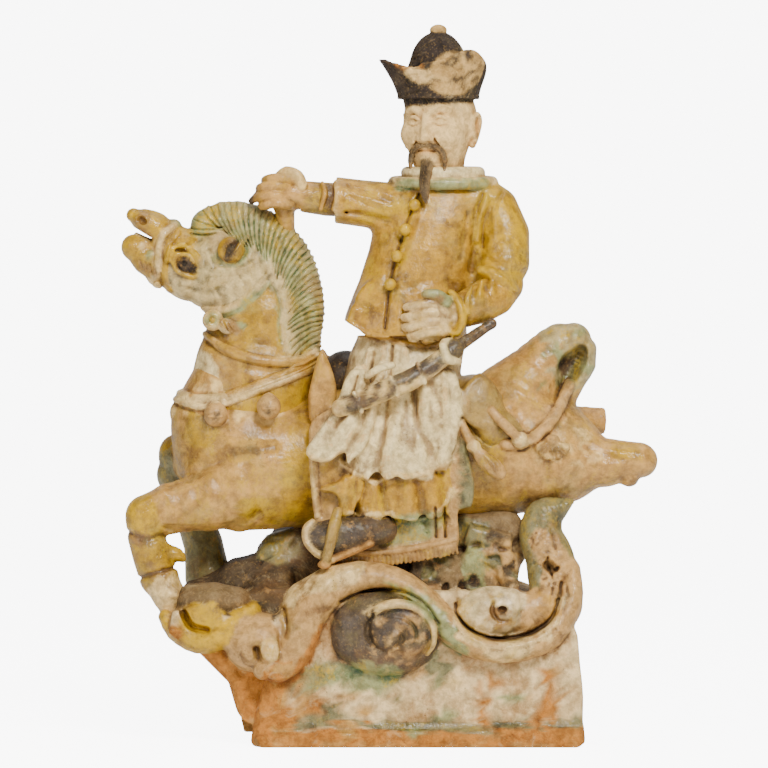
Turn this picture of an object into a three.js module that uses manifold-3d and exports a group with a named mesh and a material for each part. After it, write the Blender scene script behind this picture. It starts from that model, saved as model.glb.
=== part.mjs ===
// Roof ridge figure: a rider on a galloping horse, carried by scrolling clouds on a saddle-shaped
// ridge tile. The whole work is modelled in clay, luted together and fired as one piece, so it is one
// solid. Millimetres, +Z up, the horse facing -X and the show side facing -Y. The origin is on the plane
// of the tile's two feet, under the middle of the figure's bounding box.

import * as THREE from "three";
import { mergeVertices } from "three/addons/utils/BufferGeometryUtils.js";
import Module from "manifold-3d";

const wasm = await Module();
wasm.setup();

// ---------- driving dimensions ----------
const TILE_DEPTH = 124; // front to back over the two feet
const TILE_WALL = 14; // thickness of each foot
const CLOUD_REACH = 70; // how far the cloud scrolls stand out from the middle, front and back
const SADDLE_CROWN = 38; // height of the arched hollow that sits over the ridge
const BARREL_HALF_DEPTH = 38; // half the horse's width across its ribs
const NEAR_SIDE = -1; // towards the viewer, -Y
const FAR_SIDE = 1;

const BROAD = 12; // sides round a large form
const MEDIUM = 8; // sides round a limb
const FINE = 5; // sides round a strap, a finger or a tassel

// ---------- closed forms ----------

// A closed three.js geometry as a solid. Only positions are kept, and shared vertices are merged.
function solidOf(geometry) {
  geometry.deleteAttribute("normal");
  geometry.deleteAttribute("uv");
  const merged = mergeVertices(geometry, 1e-3);
  const triVerts = new Uint32Array(merged.index.array);
  const positions = merged.attributes.position;
  let volume = 0;
  const corner = [new THREE.Vector3(), new THREE.Vector3(), new THREE.Vector3()];
  for (let i = 0; i < triVerts.length; i += 3) {
    corner.forEach((v, k) => v.fromBufferAttribute(positions, triVerts[i + k]));
    volume += corner[0].dot(corner[1].clone().cross(corner[2]));
  }
  if (volume < 0) {
    for (let i = 0; i < triVerts.length; i += 3) {
      [triVerts[i + 1], triVerts[i + 2]] = [triVerts[i + 2], triVerts[i + 1]];
    }
  }
  return new wasm.Manifold(new wasm.Mesh({ numProp: 3, vertProperties: positions.array, triVerts }));
}

// A clay roll bent along a curve. Each station is [x, y, z, radius, depth radius]: the first radius is
// measured across the roll in the plane of its bend, the second along the depth axis.
function roll(stations, { sides = MEDIUM, rings = 0, caps = 1, blunt = 1, depthAxis = [0, 1, 0] } = {}) {
  const curve = new THREE.CatmullRomCurve3(stations.map(([x, y, z]) => new THREE.Vector3(x, y, z)));
  const radii = new THREE.CatmullRomCurve3(stations.map((s) => new THREE.Vector3(s[3], s[4] ?? s[3], 0)));
  const bodyRings = rings || stations.length - 1;
  const rows = bodyRings + 2 * caps;
  const geometry = new THREE.SphereGeometry(1, sides, rows);
  const position = geometry.attributes.position;
  const axis = new THREE.Vector3(...depthAxis).normalize();
  for (let i = 0; i < position.count; i++) {
    const row = Math.round((Math.acos(THREE.MathUtils.clamp(position.getY(i), -1, 1)) / Math.PI) * rows);
    const around = Math.atan2(position.getZ(i), position.getX(i));
    const share = THREE.MathUtils.clamp((row - caps) / bodyRings, 0, 1);
    const endRow = row < caps ? row - caps : Math.max(0, row - caps - bodyRings);
    const lift = ((endRow / caps) * Math.PI) / 2;
    const centre = curve.getPoint(share);
    const along = curve.getTangent(share);
    const across = axis.clone().cross(along).normalize();
    const deep = along.clone().cross(across);
    const size = radii.getPoint(share);
    centre.addScaledVector(along, Math.sin(lift) * size.x * blunt);
    centre.addScaledVector(across, Math.cos(around) * Math.cos(lift) * size.x);
    centre.addScaledVector(deep, Math.sin(around) * Math.cos(lift) * size.y);
    position.setXYZ(i, centre.x, centre.y, centre.z);
  }
  return solidOf(geometry);
}

// A ball or lens of clay with its three half sizes, turned by degrees about X, Y and Z.
function lump([x, y, z], [rx, ry, rz], { sides = MEDIUM, rows = 6, turn = [0, 0, 0] } = {}) {
  const geometry = new THREE.SphereGeometry(1, sides, rows);
  geometry.rotateX(Math.PI / 2);
  geometry.scale(rx, ry, rz);
  geometry.rotateX(THREE.MathUtils.degToRad(turn[0]));
  geometry.rotateY(THREE.MathUtils.degToRad(turn[1]));
  geometry.rotateZ(THREE.MathUtils.degToRad(turn[2]));
  geometry.translate(x, y, z);
  return solidOf(geometry);
}

// A slab whose outline lies in the XZ plane, from yFront to yBack.
function slab(outline, yFront, yBack) {
  const shape = new THREE.Shape(outline.map(([x, z]) => new THREE.Vector2(x, z)));
  const geometry = new THREE.ExtrudeGeometry(shape, {
    depth: yBack - yFront,
    bevelEnabled: false,
    curveSegments: 8,
  });
  geometry.rotateX(Math.PI / 2);
  geometry.translate(0, yBack, 0);
  return solidOf(geometry);
}

// A body thrown on the wheel: a [radius, height] profile turned about Z, squashed front to back.
function turned(profile, [x, y, z], { sides = MEDIUM, squash = 1 } = {}) {
  const geometry = new THREE.LatheGeometry(profile.map(([r, h]) => new THREE.Vector2(r, h)), sides);
  geometry.rotateX(Math.PI / 2);
  geometry.scale(1, squash, 1);
  geometry.translate(x, y, z);
  return solidOf(geometry);
}

// Cloth round a body: oval rows from the top down, [x, y, z, half width, half depth], with folds that
// deepen towards the hem. hemWave lifts and drops the lowest row.
function drape(rows, { sides = BROAD, folds = 0, foldDepth = 0, hemWave = 0, phase = 0 } = {}) {
  const geometry = new THREE.CylinderGeometry(1, 1, 1, sides, rows.length - 1);
  const position = geometry.attributes.position;
  for (let i = 0; i < position.count; i++) {
    const row = Math.round((0.5 - position.getY(i)) * (rows.length - 1));
    const [x, y, z, halfWidth, halfDepth] = rows[row];
    const reach = Math.hypot(position.getX(i), position.getZ(i));
    const around = Math.atan2(position.getZ(i), position.getX(i));
    const down = row / (rows.length - 1);
    const swing = Math.cos(folds * around + phase);
    const hem = row === rows.length - 1 ? hemWave * swing * reach : 0;
    position.setXYZ(
      i,
      x + Math.cos(around) * reach * (halfWidth + foldDepth * down * swing),
      y - Math.sin(around) * reach * (halfDepth + foldDepth * down * swing),
      z + hem,
    );
  }
  return solidOf(geometry);
}

// A roll of clay wound into a volute in a plane parallel to XZ.
function volute(centre, outer, inner, { start, turns, thick, thin, depth, lift, tall, steps }) {
  const stations = [];
  for (let i = 0; i <= steps; i++) {
    const share = i / steps;
    const angle = THREE.MathUtils.degToRad(start) + share * turns * 2 * Math.PI;
    const reach = THREE.MathUtils.lerp(outer, inner, share);
    stations.push([
      centre[0] + reach * Math.cos(angle),
      centre[1] + lift * share,
      centre[2] + reach * Math.sin(angle) * tall,
      THREE.MathUtils.lerp(thick, thin, share),
      depth,
    ]);
  }
  return roll(stations, { sides: FINE, rings: steps });
}

const join = (solids) => solids.reduce((whole, next) => whole.add(next));

// ---------- the ridge tile ----------

// Its front outline, from the broken left toe, which flares under the hoof, to the square right end.
const TILE_OUTLINE = [
  [-96, 0],
  [-103, 32],
  [-106, 44],
  [-124, 60],
  [-140, 74],
  [-138, 88],
  [-104, 98],
  [-60, 106],
  [84, 100],
  [112, 96],
  [120, 78],
  [124, 34],
  [123, 8],
  [118, 0],
];

function ridgeTile() {
  const half = TILE_DEPTH / 2;
  const block = slab(TILE_OUTLINE, -half, half);
  // The saddle: a round-headed tunnel along the ridge, open at the bottom and at both ends.
  const inner = half - TILE_WALL;
  const arch = new THREE.Shape();
  arch.moveTo(-inner, -1);
  arch.lineTo(inner, -1);
  arch.absellipse(0, 0, inner, SADDLE_CROWN, 0, Math.PI, false);
  const tunnel = new THREE.ExtrudeGeometry(arch, { depth: 320, bevelEnabled: false, curveSegments: 8 });
  tunnel.rotateX(Math.PI / 2);
  tunnel.rotateZ(Math.PI / 2);
  tunnel.translate(-160, 0, 0);
  // The front face breaks away towards the left end, and the top narrows under the clouds.
  const breakAway = slab([[-150, -1], [-66, -1], [-66, 60], [-150, 60]], -90, -half + 22);
  const chamfer = breakAway.rotate([0, 0, -34]).translate([-32, -56, 0]);
  return block.subtract(solidOf(tunnel)).subtract(chamfer);
}

// ---------- clouds ----------

function clouds() {
  const parts = [];
  // Yellow cloud under the raised hoof: a rolled ball lying in a crescent.
  parts.push(lump([-122, -40, 86], [10, 10, 11]));
  parts.push(
    roll(
      [
        [-143, -38, 80, 5, 8],
        [-134, -42, 70, 7, 12],
        [-119, -44, 66, 8, 14],
        [-104, -42, 76, 9, 14],
        [-90, -38, 87, 5, 9],
      ],
      { sides: FINE },
    ),
  );
  // Left volute, a dome with a small curl on it, from which the cream arch rises.
  parts.push(lump([-80, -50, 64], [19, 19, 19]));
  parts.push(lump([-76, -62, 60], [8, 8, 8], { sides: FINE, rows: 4 }));
  parts.push(
    roll(
      [
        [-69, -52, 56, 12, 12],
        [-60, -52, 76, 10, 12],
        [-46, -51, 96, 12, 14],
        [-28, -49, 108, 13, 14],
        [-6, -49, 110, 12, 14],
        [14, -50, 101, 11, 14],
        [31, -53, 85, 10, 13],
        [47, -55, 69, 10, 13],
        [72, -55, 61, 10, 14],
        [98, -54, 68, 10, 14],
        [113, -52, 86, 9, 13],
        [118, -46, 106, 8, 11],
      ],
      { sides: MEDIUM },
    ),
  );
  // Dark volute in the middle: a lens with a thick coil on it.
  parts.push(lump([-4, -CLOUD_REACH + 20, 71], [34, 20, 26], { sides: BROAD }));
  parts.push(
    volute([7, -58, 77], 19, 3, {
      start: 210,
      turns: -1.4,
      thick: 6,
      thin: 4,
      depth: 9,
      lift: -3,
      tall: 0.8,
      steps: 10,
    }),
  );
  // Right volute, held in the bend of the cloud ribbon.
  parts.push(lump([70, -54, 82], [32, 14, 16], { sides: MEDIUM, turn: [0, 8, 0] }));
  parts.push(
    volute([66, -60, 87], 13, 2, {
      start: 200,
      turns: -1.2,
      thick: 6,
      thin: 4,
      depth: 8,
      lift: 0,
      tall: 0.8,
      steps: 8,
    }),
  );
  // The back carries two plain scrolls in the same places, without coils.
  parts.push(lump([-4, CLOUD_REACH - 20, 71], [40, 20, 28]));
  parts.push(lump([66, CLOUD_REACH - 22, 80], [34, 18, 18]));
  // Wisp of cloud licking up to the haunch, its middle broken to the clay.
  parts.push(
    roll(
      [
        [109, -42, 88, 13, 12],
        [107, -38, 114, 13, 11],
        [99, -32, 136, 14, 11],
        [100, -28, 148, 12, 10],
        [116, -28, 157, 3, 5],
      ],
      { sides: MEDIUM },
    ),
  );
  // Unglazed cloud mass that carries the belly, in two heaps.
  parts.push(
    roll(
      [
        [-122, 12, 92, 16, 30],
        [-96, 8, 98, 18, 36],
        [-66, 4, 100, 22, 40],
      ],
      { sides: MEDIUM, blunt: 0.6 },
    ),
  );
  parts.push(slab([[-86, 96], [-50, 96], [-40, 146], [-84, 146]], -16, 34));
  parts.push(lump([-60, 6, 118], [26, 26, 22], { sides: MEDIUM }));
  parts.push(slab([[-50, 96], [79, 96], [84, 118], [83, 150], [-40, 150]], -30, 32));
  return join(parts);
}

// ---------- the horse ----------

function horseBody() {
  const deep = BARREL_HALF_DEPTH;
  return join([
    roll(
      [
        [-100, 0, 186, 38, deep - 4],
        [-58, 0, 180, 44, deep],
        [-6, 0, 184, 47, deep],
        [52, 0, 188, 46, deep],
        [92, 0, 188, 38, deep - 4],
      ],
      { sides: BROAD, blunt: 0.7, rings: 6, caps: 2 },
    ),
    // Neck, arched back and thickest where it leaves the chest.
    roll(
      [
        [-98, 0, 192, 37, 34],
        [-92, 0, 228, 40, 29],
        [-84, 0, 262, 36, 24],
        [-84, 0, 292, 30, 20],
        [-92, 0, 316, 22, 17],
      ],
      { sides: BROAD, rings: 5, blunt: 0.6 },
    ),
    // Crest of the mane, rolling over the brow into a forelock.
    roll(
      [
        [-118, 0, 324, 8, 10],
        [-114, 0, 336, 10, 13],
        [-98, 0, 340, 11, 14],
        [-80, 0, 333, 12, 13],
        [-64, 0, 318, 13, 12],
        [-55, 0, 297, 14, 12],
        [-53, 0, 272, 13, 13],
        [-55, 0, 252, 12, 15],
      ],
      { sides: MEDIUM },
    ),
  ]);
}

function horseHead() {
  return join([
    // Cheek and skull.
    roll(
      [
        [-92, 0, 305, 25, 21],
        [-116, 0, 304, 24, 19],
        [-136, 0, 308, 18, 15],
        [-148, 0, 316, 12, 11],
      ],
      { sides: MEDIUM, rings: 6 },
    ),
    // Open mouth: curled upper lip, dropped lower lip, tongue and teeth between.
    roll(
      [
        [-142, 0, 326, 12, 11],
        [-154, 0, 333, 9, 10],
        [-165, 0, 338, 3, 6],
      ],
      { sides: FINE, blunt: 0.6 },
    ),
    roll(
      [
        [-140, 0, 302, 10, 11],
        [-156, 0, 308, 8, 10],
        [-165, 0, 316, 8, 9],
      ],
      { sides: FINE },
    ),
    lump([-152, 0, 318], [7, 8, 5], { sides: FINE, rows: 4 }),
    // Eyes, ears, cheek bosses and the knob of the noseband, one on each side.
    ...[NEAR_SIDE, FAR_SIDE].flatMap((side) => [
      lump([-131, side * 15, 307], [7, 5, 6], { sides: FINE, rows: 4 }),
      lump([-100, side * 20, 317], [8, 5, 8], { sides: FINE, rows: 4 }),
      lump([-113, side * 22, 270], [7, 5, 7], { sides: FINE, rows: 4 }),
    ]),
    lump([-139, 0, 332], [6, 9, 5], { sides: FINE, rows: 4 }),
    lump([-153, 0, 298], [4, 6, 4], { sides: FINE, rows: 4 }),
  ]);
}

function horseLegs() {
  return join([
    // Near foreleg, thrown forward and folded at the knee, with its hoof on the yellow cloud.
    roll(
      [
        [-80, -20, 168, 31, 20],
        [-116, -26, 158, 21, 18],
        [-142, -30, 152, 16, 15],
        [-155, -31, 142, 14, 14],
        [-156, -31, 126, 12, 13],
        [-149, -31, 108, 14, 14],
      ],
      { sides: MEDIUM, blunt: 0.7 },
    ),
    roll(
      [
        [-150, -31, 104, 12, 12],
        [-144, -32, 96, 13, 14],
        [-140, -32, 88, 10, 12],
      ],
      { sides: MEDIUM, rings: 3 },
    ),
    roll(
      [
        [-146, -31, 120, 6, 6],
        [-134, -31, 122, 2, 3],
      ],
      { sides: FINE, rings: 2, caps: 1 },
    ),
    // Far foreleg, folded and resting its shank on the cloud.
    roll(
      [
        [-108, 18, 178, 20, 18],
        [-138, 24, 177, 16, 16],
        [-136, 26, 156, 13, 14],
        [-126, 26, 132, 13, 14],
        [-120, 22, 108, 15, 16],
        [-120, 18, 92, 18, 18],
      ],
      { sides: MEDIUM },
    ),
    // Hind legs, stretched back and broken off at the hock.
    roll(
      [
        [88, -10, 182, 40, 28],
        [118, -14, 181, 28, 24],
        [144, -16, 180, 16, 17],
        [159, -16, 180, 13, 15],
      ],
      { sides: MEDIUM, rings: 8 },
    ),
    lump([153, -16, 170], [5, 6, 4], { sides: FINE, rows: 4 }),
    roll(
      [
        [92, 12, 196, 28, 22],
        [120, 18, 204, 15, 14],
        [138, 20, 207, 8, 9],
      ],
      { sides: MEDIUM, rings: 4, caps: 1, blunt: 0.2 },
    ),
  ]);
}

function horseTail() {
  const loop = roll(
    [
      [86, 0, 222, 20, 24],
      [100, 0, 246, 14, 19],
      [110, 0, 258, 11, 16],
      [122, 0, 260, 9, 14],
      [129, 0, 251, 7, 13],
      [125, 0, 238, 7, 12],
      [114, 0, 226, 7, 11],
    ],
    { sides: MEDIUM },
  );
  // The curl is closed at the back and hollow towards the show side.
  const web = lump([116, 6, 242], [14, 8, 16]);
  return loop.add(web);
}

function harness() {
  const parts = [];
  for (const side of [NEAR_SIDE, FAR_SIDE]) {
    // Rein from the cheek boss round the foot of the mane.
    parts.push(
      roll(
        [
          [-114, side * 22, 264, 3.5],
          [-104, side * 25, 253, 3.5],
          [-88, side * 28, 248, 3.5],
          [-70, side * 28, 246, 3.5],
          [-52, side * 22, 249, 3.5],
        ],
        { sides: FINE, caps: 1 },
      ),
    );
    // Breast strap, from the middle of the chest up to the saddle.
    parts.push(
      roll(
        [
          [-131, side * 4, 222, 4],
          [-122, side * 22, 219, 4],
          [-106, side * 32, 220, 4],
          [-87, side * 35, 224, 4],
          [-67, side * 37, 233, 4],
          [-47, side * 36, 246, 4],
        ],
        { sides: FINE, caps: 1 },
      ),
    );
    // Crupper strap, from under the tail to the boss on the saddle skirt.
    parts.push(
      roll(
        [
          [114, side * 12, 230, 4],
          [111, side * 21, 216, 4],
          [102, side * 29, 204, 4],
          [93, side * 34, 197, 4],
          [84, side * 36, 195, 4],
          [72, side * 37, 201, 3],
          [64, side * 36, 209, 3],
        ],
        { sides: FINE, caps: 1 },
      ),
    );
  }
  // Bells and tassels hang on the show side only.
  parts.push(lump([-133, 0, 211], [5, 9, 15], { sides: FINE, rows: 4 }));
  parts.push(lump([-109, -34, 210], [8, 7, 8], { sides: FINE + 2, rows: 4 }));
  parts.push(lump([-76, -38, 218], [9, 7, 9], { sides: FINE + 2, rows: 4 }));
  parts.push(lump([103, -32, 192], [11, 6, 11], { sides: FINE + 2, rows: 4 }));
  parts.push(roll([[49, -40, 193, 4.5], [60, -40, 184, 5], [70, -40, 175, 5]], { sides: FINE, rings: 2 }));
  return join(parts);
}

// Edge of the saddlecloth seen from the side, from the front corner round to the pommel.
const SADDLECLOTH = [
  [-52, 134],
  [-38, 117],
  [4, 118],
  [40, 124],
  [44, 150],
  [52, 158],
  [50, 196],
  [-52, 226],
];

function saddle() {
  const parts = [];
  // Pommel and cantle.
  parts.push(roll([[-27, -4, 232, 16, 30], [-24, 0, 246, 12, 24]], { sides: MEDIUM, rings: 3 }));
  parts.push(lump([56, -6, 218], [18, 32, 18]));
  for (const side of [NEAR_SIDE, FAR_SIDE]) {
    const outer = side * 47;
    const inner = side * 36;
    const [front, back] = [Math.min(outer, inner), Math.max(outer, inner)];
    // Saddlecloth, hanging past the belly, with the skirt of the saddle behind the rider.
    parts.push(slab(SADDLECLOTH, front, back));
    parts.push(lump([64, side * 33, 203], [26, 7, 17], { sides: MEDIUM, turn: [0, 10, 0] }));
    parts.push(lump([-44, side * 36, 222], [9, 6, 24], { sides: FINE, rows: 4, turn: [0, 12, 0] }));
  }
  return join(parts);
}

// ---------- the rider ----------

function riderLegs() {
  const parts = [];
  for (const side of [NEAR_SIDE, FAR_SIDE]) {
    // Under-robe over the leg, with half the folds on the far side, and the boot.
    parts.push(
      drape(
        [
          [10, side * 40, 200, 30, 16],
          [8, side * 47, 172, 31, 14],
          [6, side * 49, 147, 31, 13],
        ],
        { sides: side === NEAR_SIDE ? 24 : 12, folds: side === NEAR_SIDE ? 6 : 3, foldDepth: 3, hemWave: 2 },
      ),
    );
    parts.push(
      roll(
        [
          [0, side * 50, 138, 9, 8],
          [-22, side * 52, 137, 10, 9],
          [-38, side * 53, 132, 10, 10],
          [-47, side * 53, 133, 8, 9],
        ],
        { sides: MEDIUM, depthAxis: [0, 1, 0] },
      ),
    );
  }
  // The curled sole and the stirrup strap are worked on the show side only.
  parts.push(
    roll(
      [
        [-14, -56, 131, 2.5, 5],
        [-36, -56, 120, 2.5, 7],
        [-50, -55, 127, 2.5, 7],
        [-53, -54, 138, 2.5, 5],
      ],
      { sides: FINE },
    ),
  );
  parts.push(roll([[-33, -58, 146, 5, 6], [-38, -62, 133, 4, 4], [-42, -58, 119, 4, 6]], { sides: FINE }));
  return join(parts);
}

function riderBody() {
  return join([
    // Pleated tunic skirt, spread over the horse's back on both sides.
    drape(
      [
        [12, -4, 262, 34, 24],
        [7, -1, 234, 37, 40],
        [1, 0, 202, 41, 52],
        [-2, 0, 174, 43, 58],
      ],
      { sides: 32, folds: 8, foldDepth: 3.2, hemWave: 2.5 },
    ),
    roll(
      [
        [-20, -46, 220, 8, 8],
        [-34, -48, 202, 7, 6],
        [-50, -50, 187, 3, 4],
      ],
      { sides: FINE },
    ),
    // Coat, flaring to its hem.
    drape(
      [
        [34, -4, 361, 20, 15],
        [31, -5, 352, 34, 19],
        [24, -6, 328, 34, 24],
        [16, -8, 294, 36, 27],
        [10, -8, 263, 38, 31],
      ],
      { sides: 16 },
    ),
    // Collar, rolled double.
    roll(
      ringOf([35, -5, 360], 29, 20, 12).map((p) => [...p, 4]),
      { sides: FINE, depthAxis: [0, 0, 1], rings: 10 },
    ),
    turned([[0, -8], [24, -8], [24, 2], [0, 4]], [35, -4, 366], { sides: BROAD, squash: 0.8 }),
    // Buttons down the front.
    ...[
      [13, -25, 344],
      [9, -28, 330],
      [5, -31, 313],
      [0, -32, 296],
    ].map((place) => lump(place, [3.4, 3.4, 3.4], { sides: FINE, rows: 4 })),
  ]);
}

// Points round a closed oval, stopping one step short so that the roll's ends meet.
function ringOf([x, y, z], halfWidth, halfDepth, count) {
  const points = [];
  for (let i = 0; i <= count; i++) {
    const angle = (i / count) * 2 * Math.PI + 0.5;
    points.push([x + halfWidth * Math.cos(angle), y + halfDepth * Math.sin(angle), z]);
  }
  return points;
}

function riderArms() {
  const parts = [];
  // Right arm, reaching forward to the mane: wide sleeve, tight under-sleeve, closed fist.
  parts.push(
    roll(
      [
        [12, -8, 342, 15, 15],
        [-14, -10, 345, 15, 15],
        [-33, -10, 348, 14, 14],
      ],
      { sides: MEDIUM, caps: 1, blunt: 0.15 },
    ),
  );
  parts.push(
    roll(
      [
        [-30, -10, 348, 12, 12],
        [-53, -10, 350, 11, 11],
      ],
      { sides: MEDIUM, rings: 2, caps: 1, blunt: 0.3 },
    ),
  );
  parts.push(
    roll(
      [
        [-54, -10, 351, 10, 11],
        [-70, -10, 353, 12, 13],
        [-82, -10, 355, 9, 12],
      ],
      { sides: MEDIUM },
    ),
  );
  parts.push(roll([[-66, -12, 362, 4], [-58, -16, 366, 5], [-52, -16, 358, 4]], { sides: FINE }));
  parts.push(roll([[-70, -4, 344, 5, 6], [-66, 0, 330, 5, 8]], { sides: FINE, rings: 2 }));
  // Left arm, akimbo: puffed sleeve, wide cuff, forearm folded in, hand laid flat on the belly.
  parts.push(
    roll(
      [
        [60, -4, 346, 15, 16],
        [72, -6, 330, 16, 17],
        [74, -10, 306, 16, 17],
        [72, -14, 291, 14, 17],
      ],
      { sides: MEDIUM },
    ),
  );
  parts.push(
    roll(
      [
        [70, -18, 292, 14, 14],
        [57, -30, 284, 13, 12],
        [46, -36, 277, 11, 10],
      ],
      { sides: MEDIUM },
    ),
  );
  parts.push(lump([44, -38, 276], [6, 10, 13], { sides: FINE, rows: 4 }));
  parts.push(lump([27, -39, 273], [13, 7, 12], { sides: MEDIUM }));
  for (const drop of [0, 1, 2, 3]) {
    parts.push(
      roll(
        [
          [24, -42, 279 - drop * 6, 3.2],
          [11, -40, 280 - drop * 6.5, 3],
        ],
        { sides: FINE, rings: 1, caps: 1 },
      ),
    );
  }
  parts.push(roll([[36, -42, 282, 4], [26, -41, 290, 3.4]], { sides: FINE, rings: 2, caps: 1 }));
  // Sheathed sword, carried across the lap.
  parts.push(
    roll(
      [
        [-31, -50, 217, 6],
        [-3, -53, 230, 7],
        [23, -48, 243, 7],
        [43, -42, 254, 6],
        [54, -38, 262, 5],
        [65, -34, 268, 4],
      ],
      { sides: FINE, rings: 5 },
    ),
  );
  return join(parts);
}

function riderHead() {
  return join([
    // Skull and jaw.
    drape(
      [
        [31, -2, 424, 22, 21],
        [31, -3, 408, 24, 23],
        [31, -4, 392, 23, 24],
        [31, -5, 376, 20, 21],
        [31, -3, 364, 14, 15],
      ],
      { sides: BROAD },
    ),
    roll([[28, -28, 398, 3], [27, -31, 390, 4, 5]], { sides: FINE, rings: 2 }),
    roll([[26, -24, 376, 8, 6], [24, -31, 362, 4, 4], [22, -36, 350, 2, 2]], { sides: FINE }),
    roll([[17, -22, 385, 3], [13, -18, 374, 2.5]], { sides: FINE, rings: 2 }),
    roll([[35, -26, 385, 3], [40, -24, 374, 2.5]], { sides: FINE, rings: 2 }),
    lump([55, 2, 394], [4, 5, 9], { sides: FINE, rows: 4 }),
    lump([7, 2, 394], [4, 5, 9], { sides: FINE, rows: 4 }),
    // Hat: high crown with its knob, brim turned up all round and chipped at the front.
    turned(
      [[0, -30], [19, -30], [18, 0], [12, 11], [5, 16], [6, 19], [0, 22]],
      [31, -2, 438],
      { sides: BROAD },
    ),
    hatBrim(),
  ]);
}

function hatBrim() {
  const brim = turned(
    [[0, 0], [24, 0], [34, 20], [31, 22], [21, 5], [0, 5]],
    [30, -3, 416],
    { sides: BROAD },
  );
  const chip = lump([18, -34, 440], [20, 14, 9], { sides: FINE, rows: 4, turn: [0, -10, 0] });
  return brim.subtract(chip);
}

// ---------- the part ----------

const figure = join([
  ridgeTile(),
  clouds(),
  horseBody(),
  horseHead(),
  horseLegs(),
  horseTail(),
  harness(),
  saddle(),
  riderLegs(),
  riderBody(),
  riderArms(),
  riderHead(),
]);

const mesh = figure.getMesh();
const geometry = new THREE.BufferGeometry();
geometry.setAttribute("position", new THREE.BufferAttribute(Float32Array.from(mesh.vertProperties), 3));
geometry.setIndex(new THREE.BufferAttribute(mesh.triVerts, 1));
geometry.computeVertexNormals();

const glaze = new THREE.MeshStandardMaterial({ color: 0xc39a5a, roughness: 0.35, metalness: 0 });
const ridgeFigure = new THREE.Mesh(geometry, glaze);
ridgeFigure.name = "ridge_figure";

const part = new THREE.Group();
part.add(ridgeFigure);

export default part;
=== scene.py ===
# %% [markdown]
# # A roof ridge figure in glazed stoneware
#
# A rider on a galloping horse, carried over a saddle-shaped ridge tile by a bank of scrolling clouds.
# On the real object every form is modelled in wet clay: rolls, balls and slabs are luted together with
# slip, creases are pressed in with a wooden tool, and the whole is hollowed, dried and fired once. Lead
# glazes in amber, cream and green are then brushed on and fired again, and they run and pool as they
# melt. The rider's head is left bare.
#
# This file does the same. A piece is a block of clay held on a grid. Rolls and lumps are added to it and
# melt into one another, tools cut and press it, and at the end the skin is cast as one closed mesh. The
# sizes are millimetres in one shared frame: +Z up, the horse facing -X and the show side facing -Y.

# %% The frame
import math

import bpy
import numpy as np
import openvdb
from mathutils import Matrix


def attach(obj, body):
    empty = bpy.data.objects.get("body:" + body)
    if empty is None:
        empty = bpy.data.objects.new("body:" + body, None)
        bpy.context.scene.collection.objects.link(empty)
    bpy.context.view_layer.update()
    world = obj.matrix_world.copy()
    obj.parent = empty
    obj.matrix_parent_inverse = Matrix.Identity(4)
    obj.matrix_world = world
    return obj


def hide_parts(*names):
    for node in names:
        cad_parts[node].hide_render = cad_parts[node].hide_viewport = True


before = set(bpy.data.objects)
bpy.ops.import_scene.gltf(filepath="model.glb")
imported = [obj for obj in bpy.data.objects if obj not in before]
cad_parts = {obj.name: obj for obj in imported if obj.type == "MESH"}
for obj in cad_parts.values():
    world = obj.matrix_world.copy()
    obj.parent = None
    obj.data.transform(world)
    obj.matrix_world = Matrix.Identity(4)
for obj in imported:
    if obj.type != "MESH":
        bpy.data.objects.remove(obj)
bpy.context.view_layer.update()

# %% [markdown]
# ## Glazes
#
# Each glaze is a pair of colours: where it lies thin over the clay, and where it has run together. The
# second is darker also as painted shade, laid in the hollows. A third number says how much bare clay
# shows through. They are written as ordinary screen colours.

# %% Glazes
GLAZES = {
    # name: (thin, pooled and painted shade, share left bare)
    "bare clay": ((206, 154, 86), (150, 106, 60), 1.0),
    "face": ((250, 212, 142), (196, 154, 96), 1.0),
    "hat": ((60, 50, 44), (32, 28, 26), 0.9),
    "hat brim": ((214, 174, 106), (92, 76, 56), 0.8),
    "chip": ((196, 128, 54), (140, 84, 34), 1.0),
    "orange": ((198, 150, 56), (136, 98, 34), 0.15),
    "tan": ((206, 156, 76), (140, 102, 42), 0.2),
    "blush": ((244, 206, 128), (206, 154, 84), 0.4),
    "gold": ((198, 148, 32), (130, 92, 18), 0.05),
    "amber": ((190, 146, 0), (126, 90, 2), 0.0),
    "yellow": ((208, 164, 0), (154, 112, 0), 0.0),
    "brown": ((158, 120, 60), (98, 70, 34), 0.15),
    "saddle": ((166, 134, 66), (94, 72, 36), 0.2),
    "buff": ((206, 162, 96), (116, 86, 50), 0.35),
    "cream": ((246, 212, 142), (156, 124, 76), 0.2),
    "slip": ((238, 208, 152), (190, 150, 98), 0.6),
    "rose": ((250, 226, 164), (178, 150, 102), 0.35),
    "green": ((156, 160, 104), (66, 100, 58), 0.1),
    "moss": ((130, 124, 82), (68, 70, 42), 0.2),
    "mane": ((184, 166, 112), (92, 102, 62), 0.15),
    "bone": ((220, 194, 132), (130, 116, 76), 0.25),
    "olive white": ((236, 210, 156), (142, 130, 90), 0.2),
    "black": ((84, 70, 56), (32, 28, 26), 0.3),
    "boot": ((76, 64, 52), (30, 26, 24), 0.3),
    "rock": ((132, 108, 72), (68, 56, 38), 0.6),
    # dark grime in scratches and combed grooves, and painted shade in holes, slits and recesses
    "soot": ((84, 69, 50), (42, 34, 26), 0.6),
}
CODE = {name: number for number, name in enumerate(GLAZES)}


def linear(colour):
    """A glaze colour, 0 to 255, as the share of light it gives back."""
    share = np.asarray(colour, dtype=float) / 255
    return np.where(share > 0.04045, ((share + 0.055) / 1.055) ** 2.4, share / 12.92)


print(len(GLAZES), "glazes mixed")

# %% [markdown]
# ## The clay
#
# Clay is kept as a grid of distances: each point knows how far it is from the skin, less than zero
# inside. Adding a roll takes the smaller distance, with a soft shoulder where two forms meet, the way a
# thumb smooths slip into a joint. Meshes pushed together would keep hard seams there.

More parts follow.
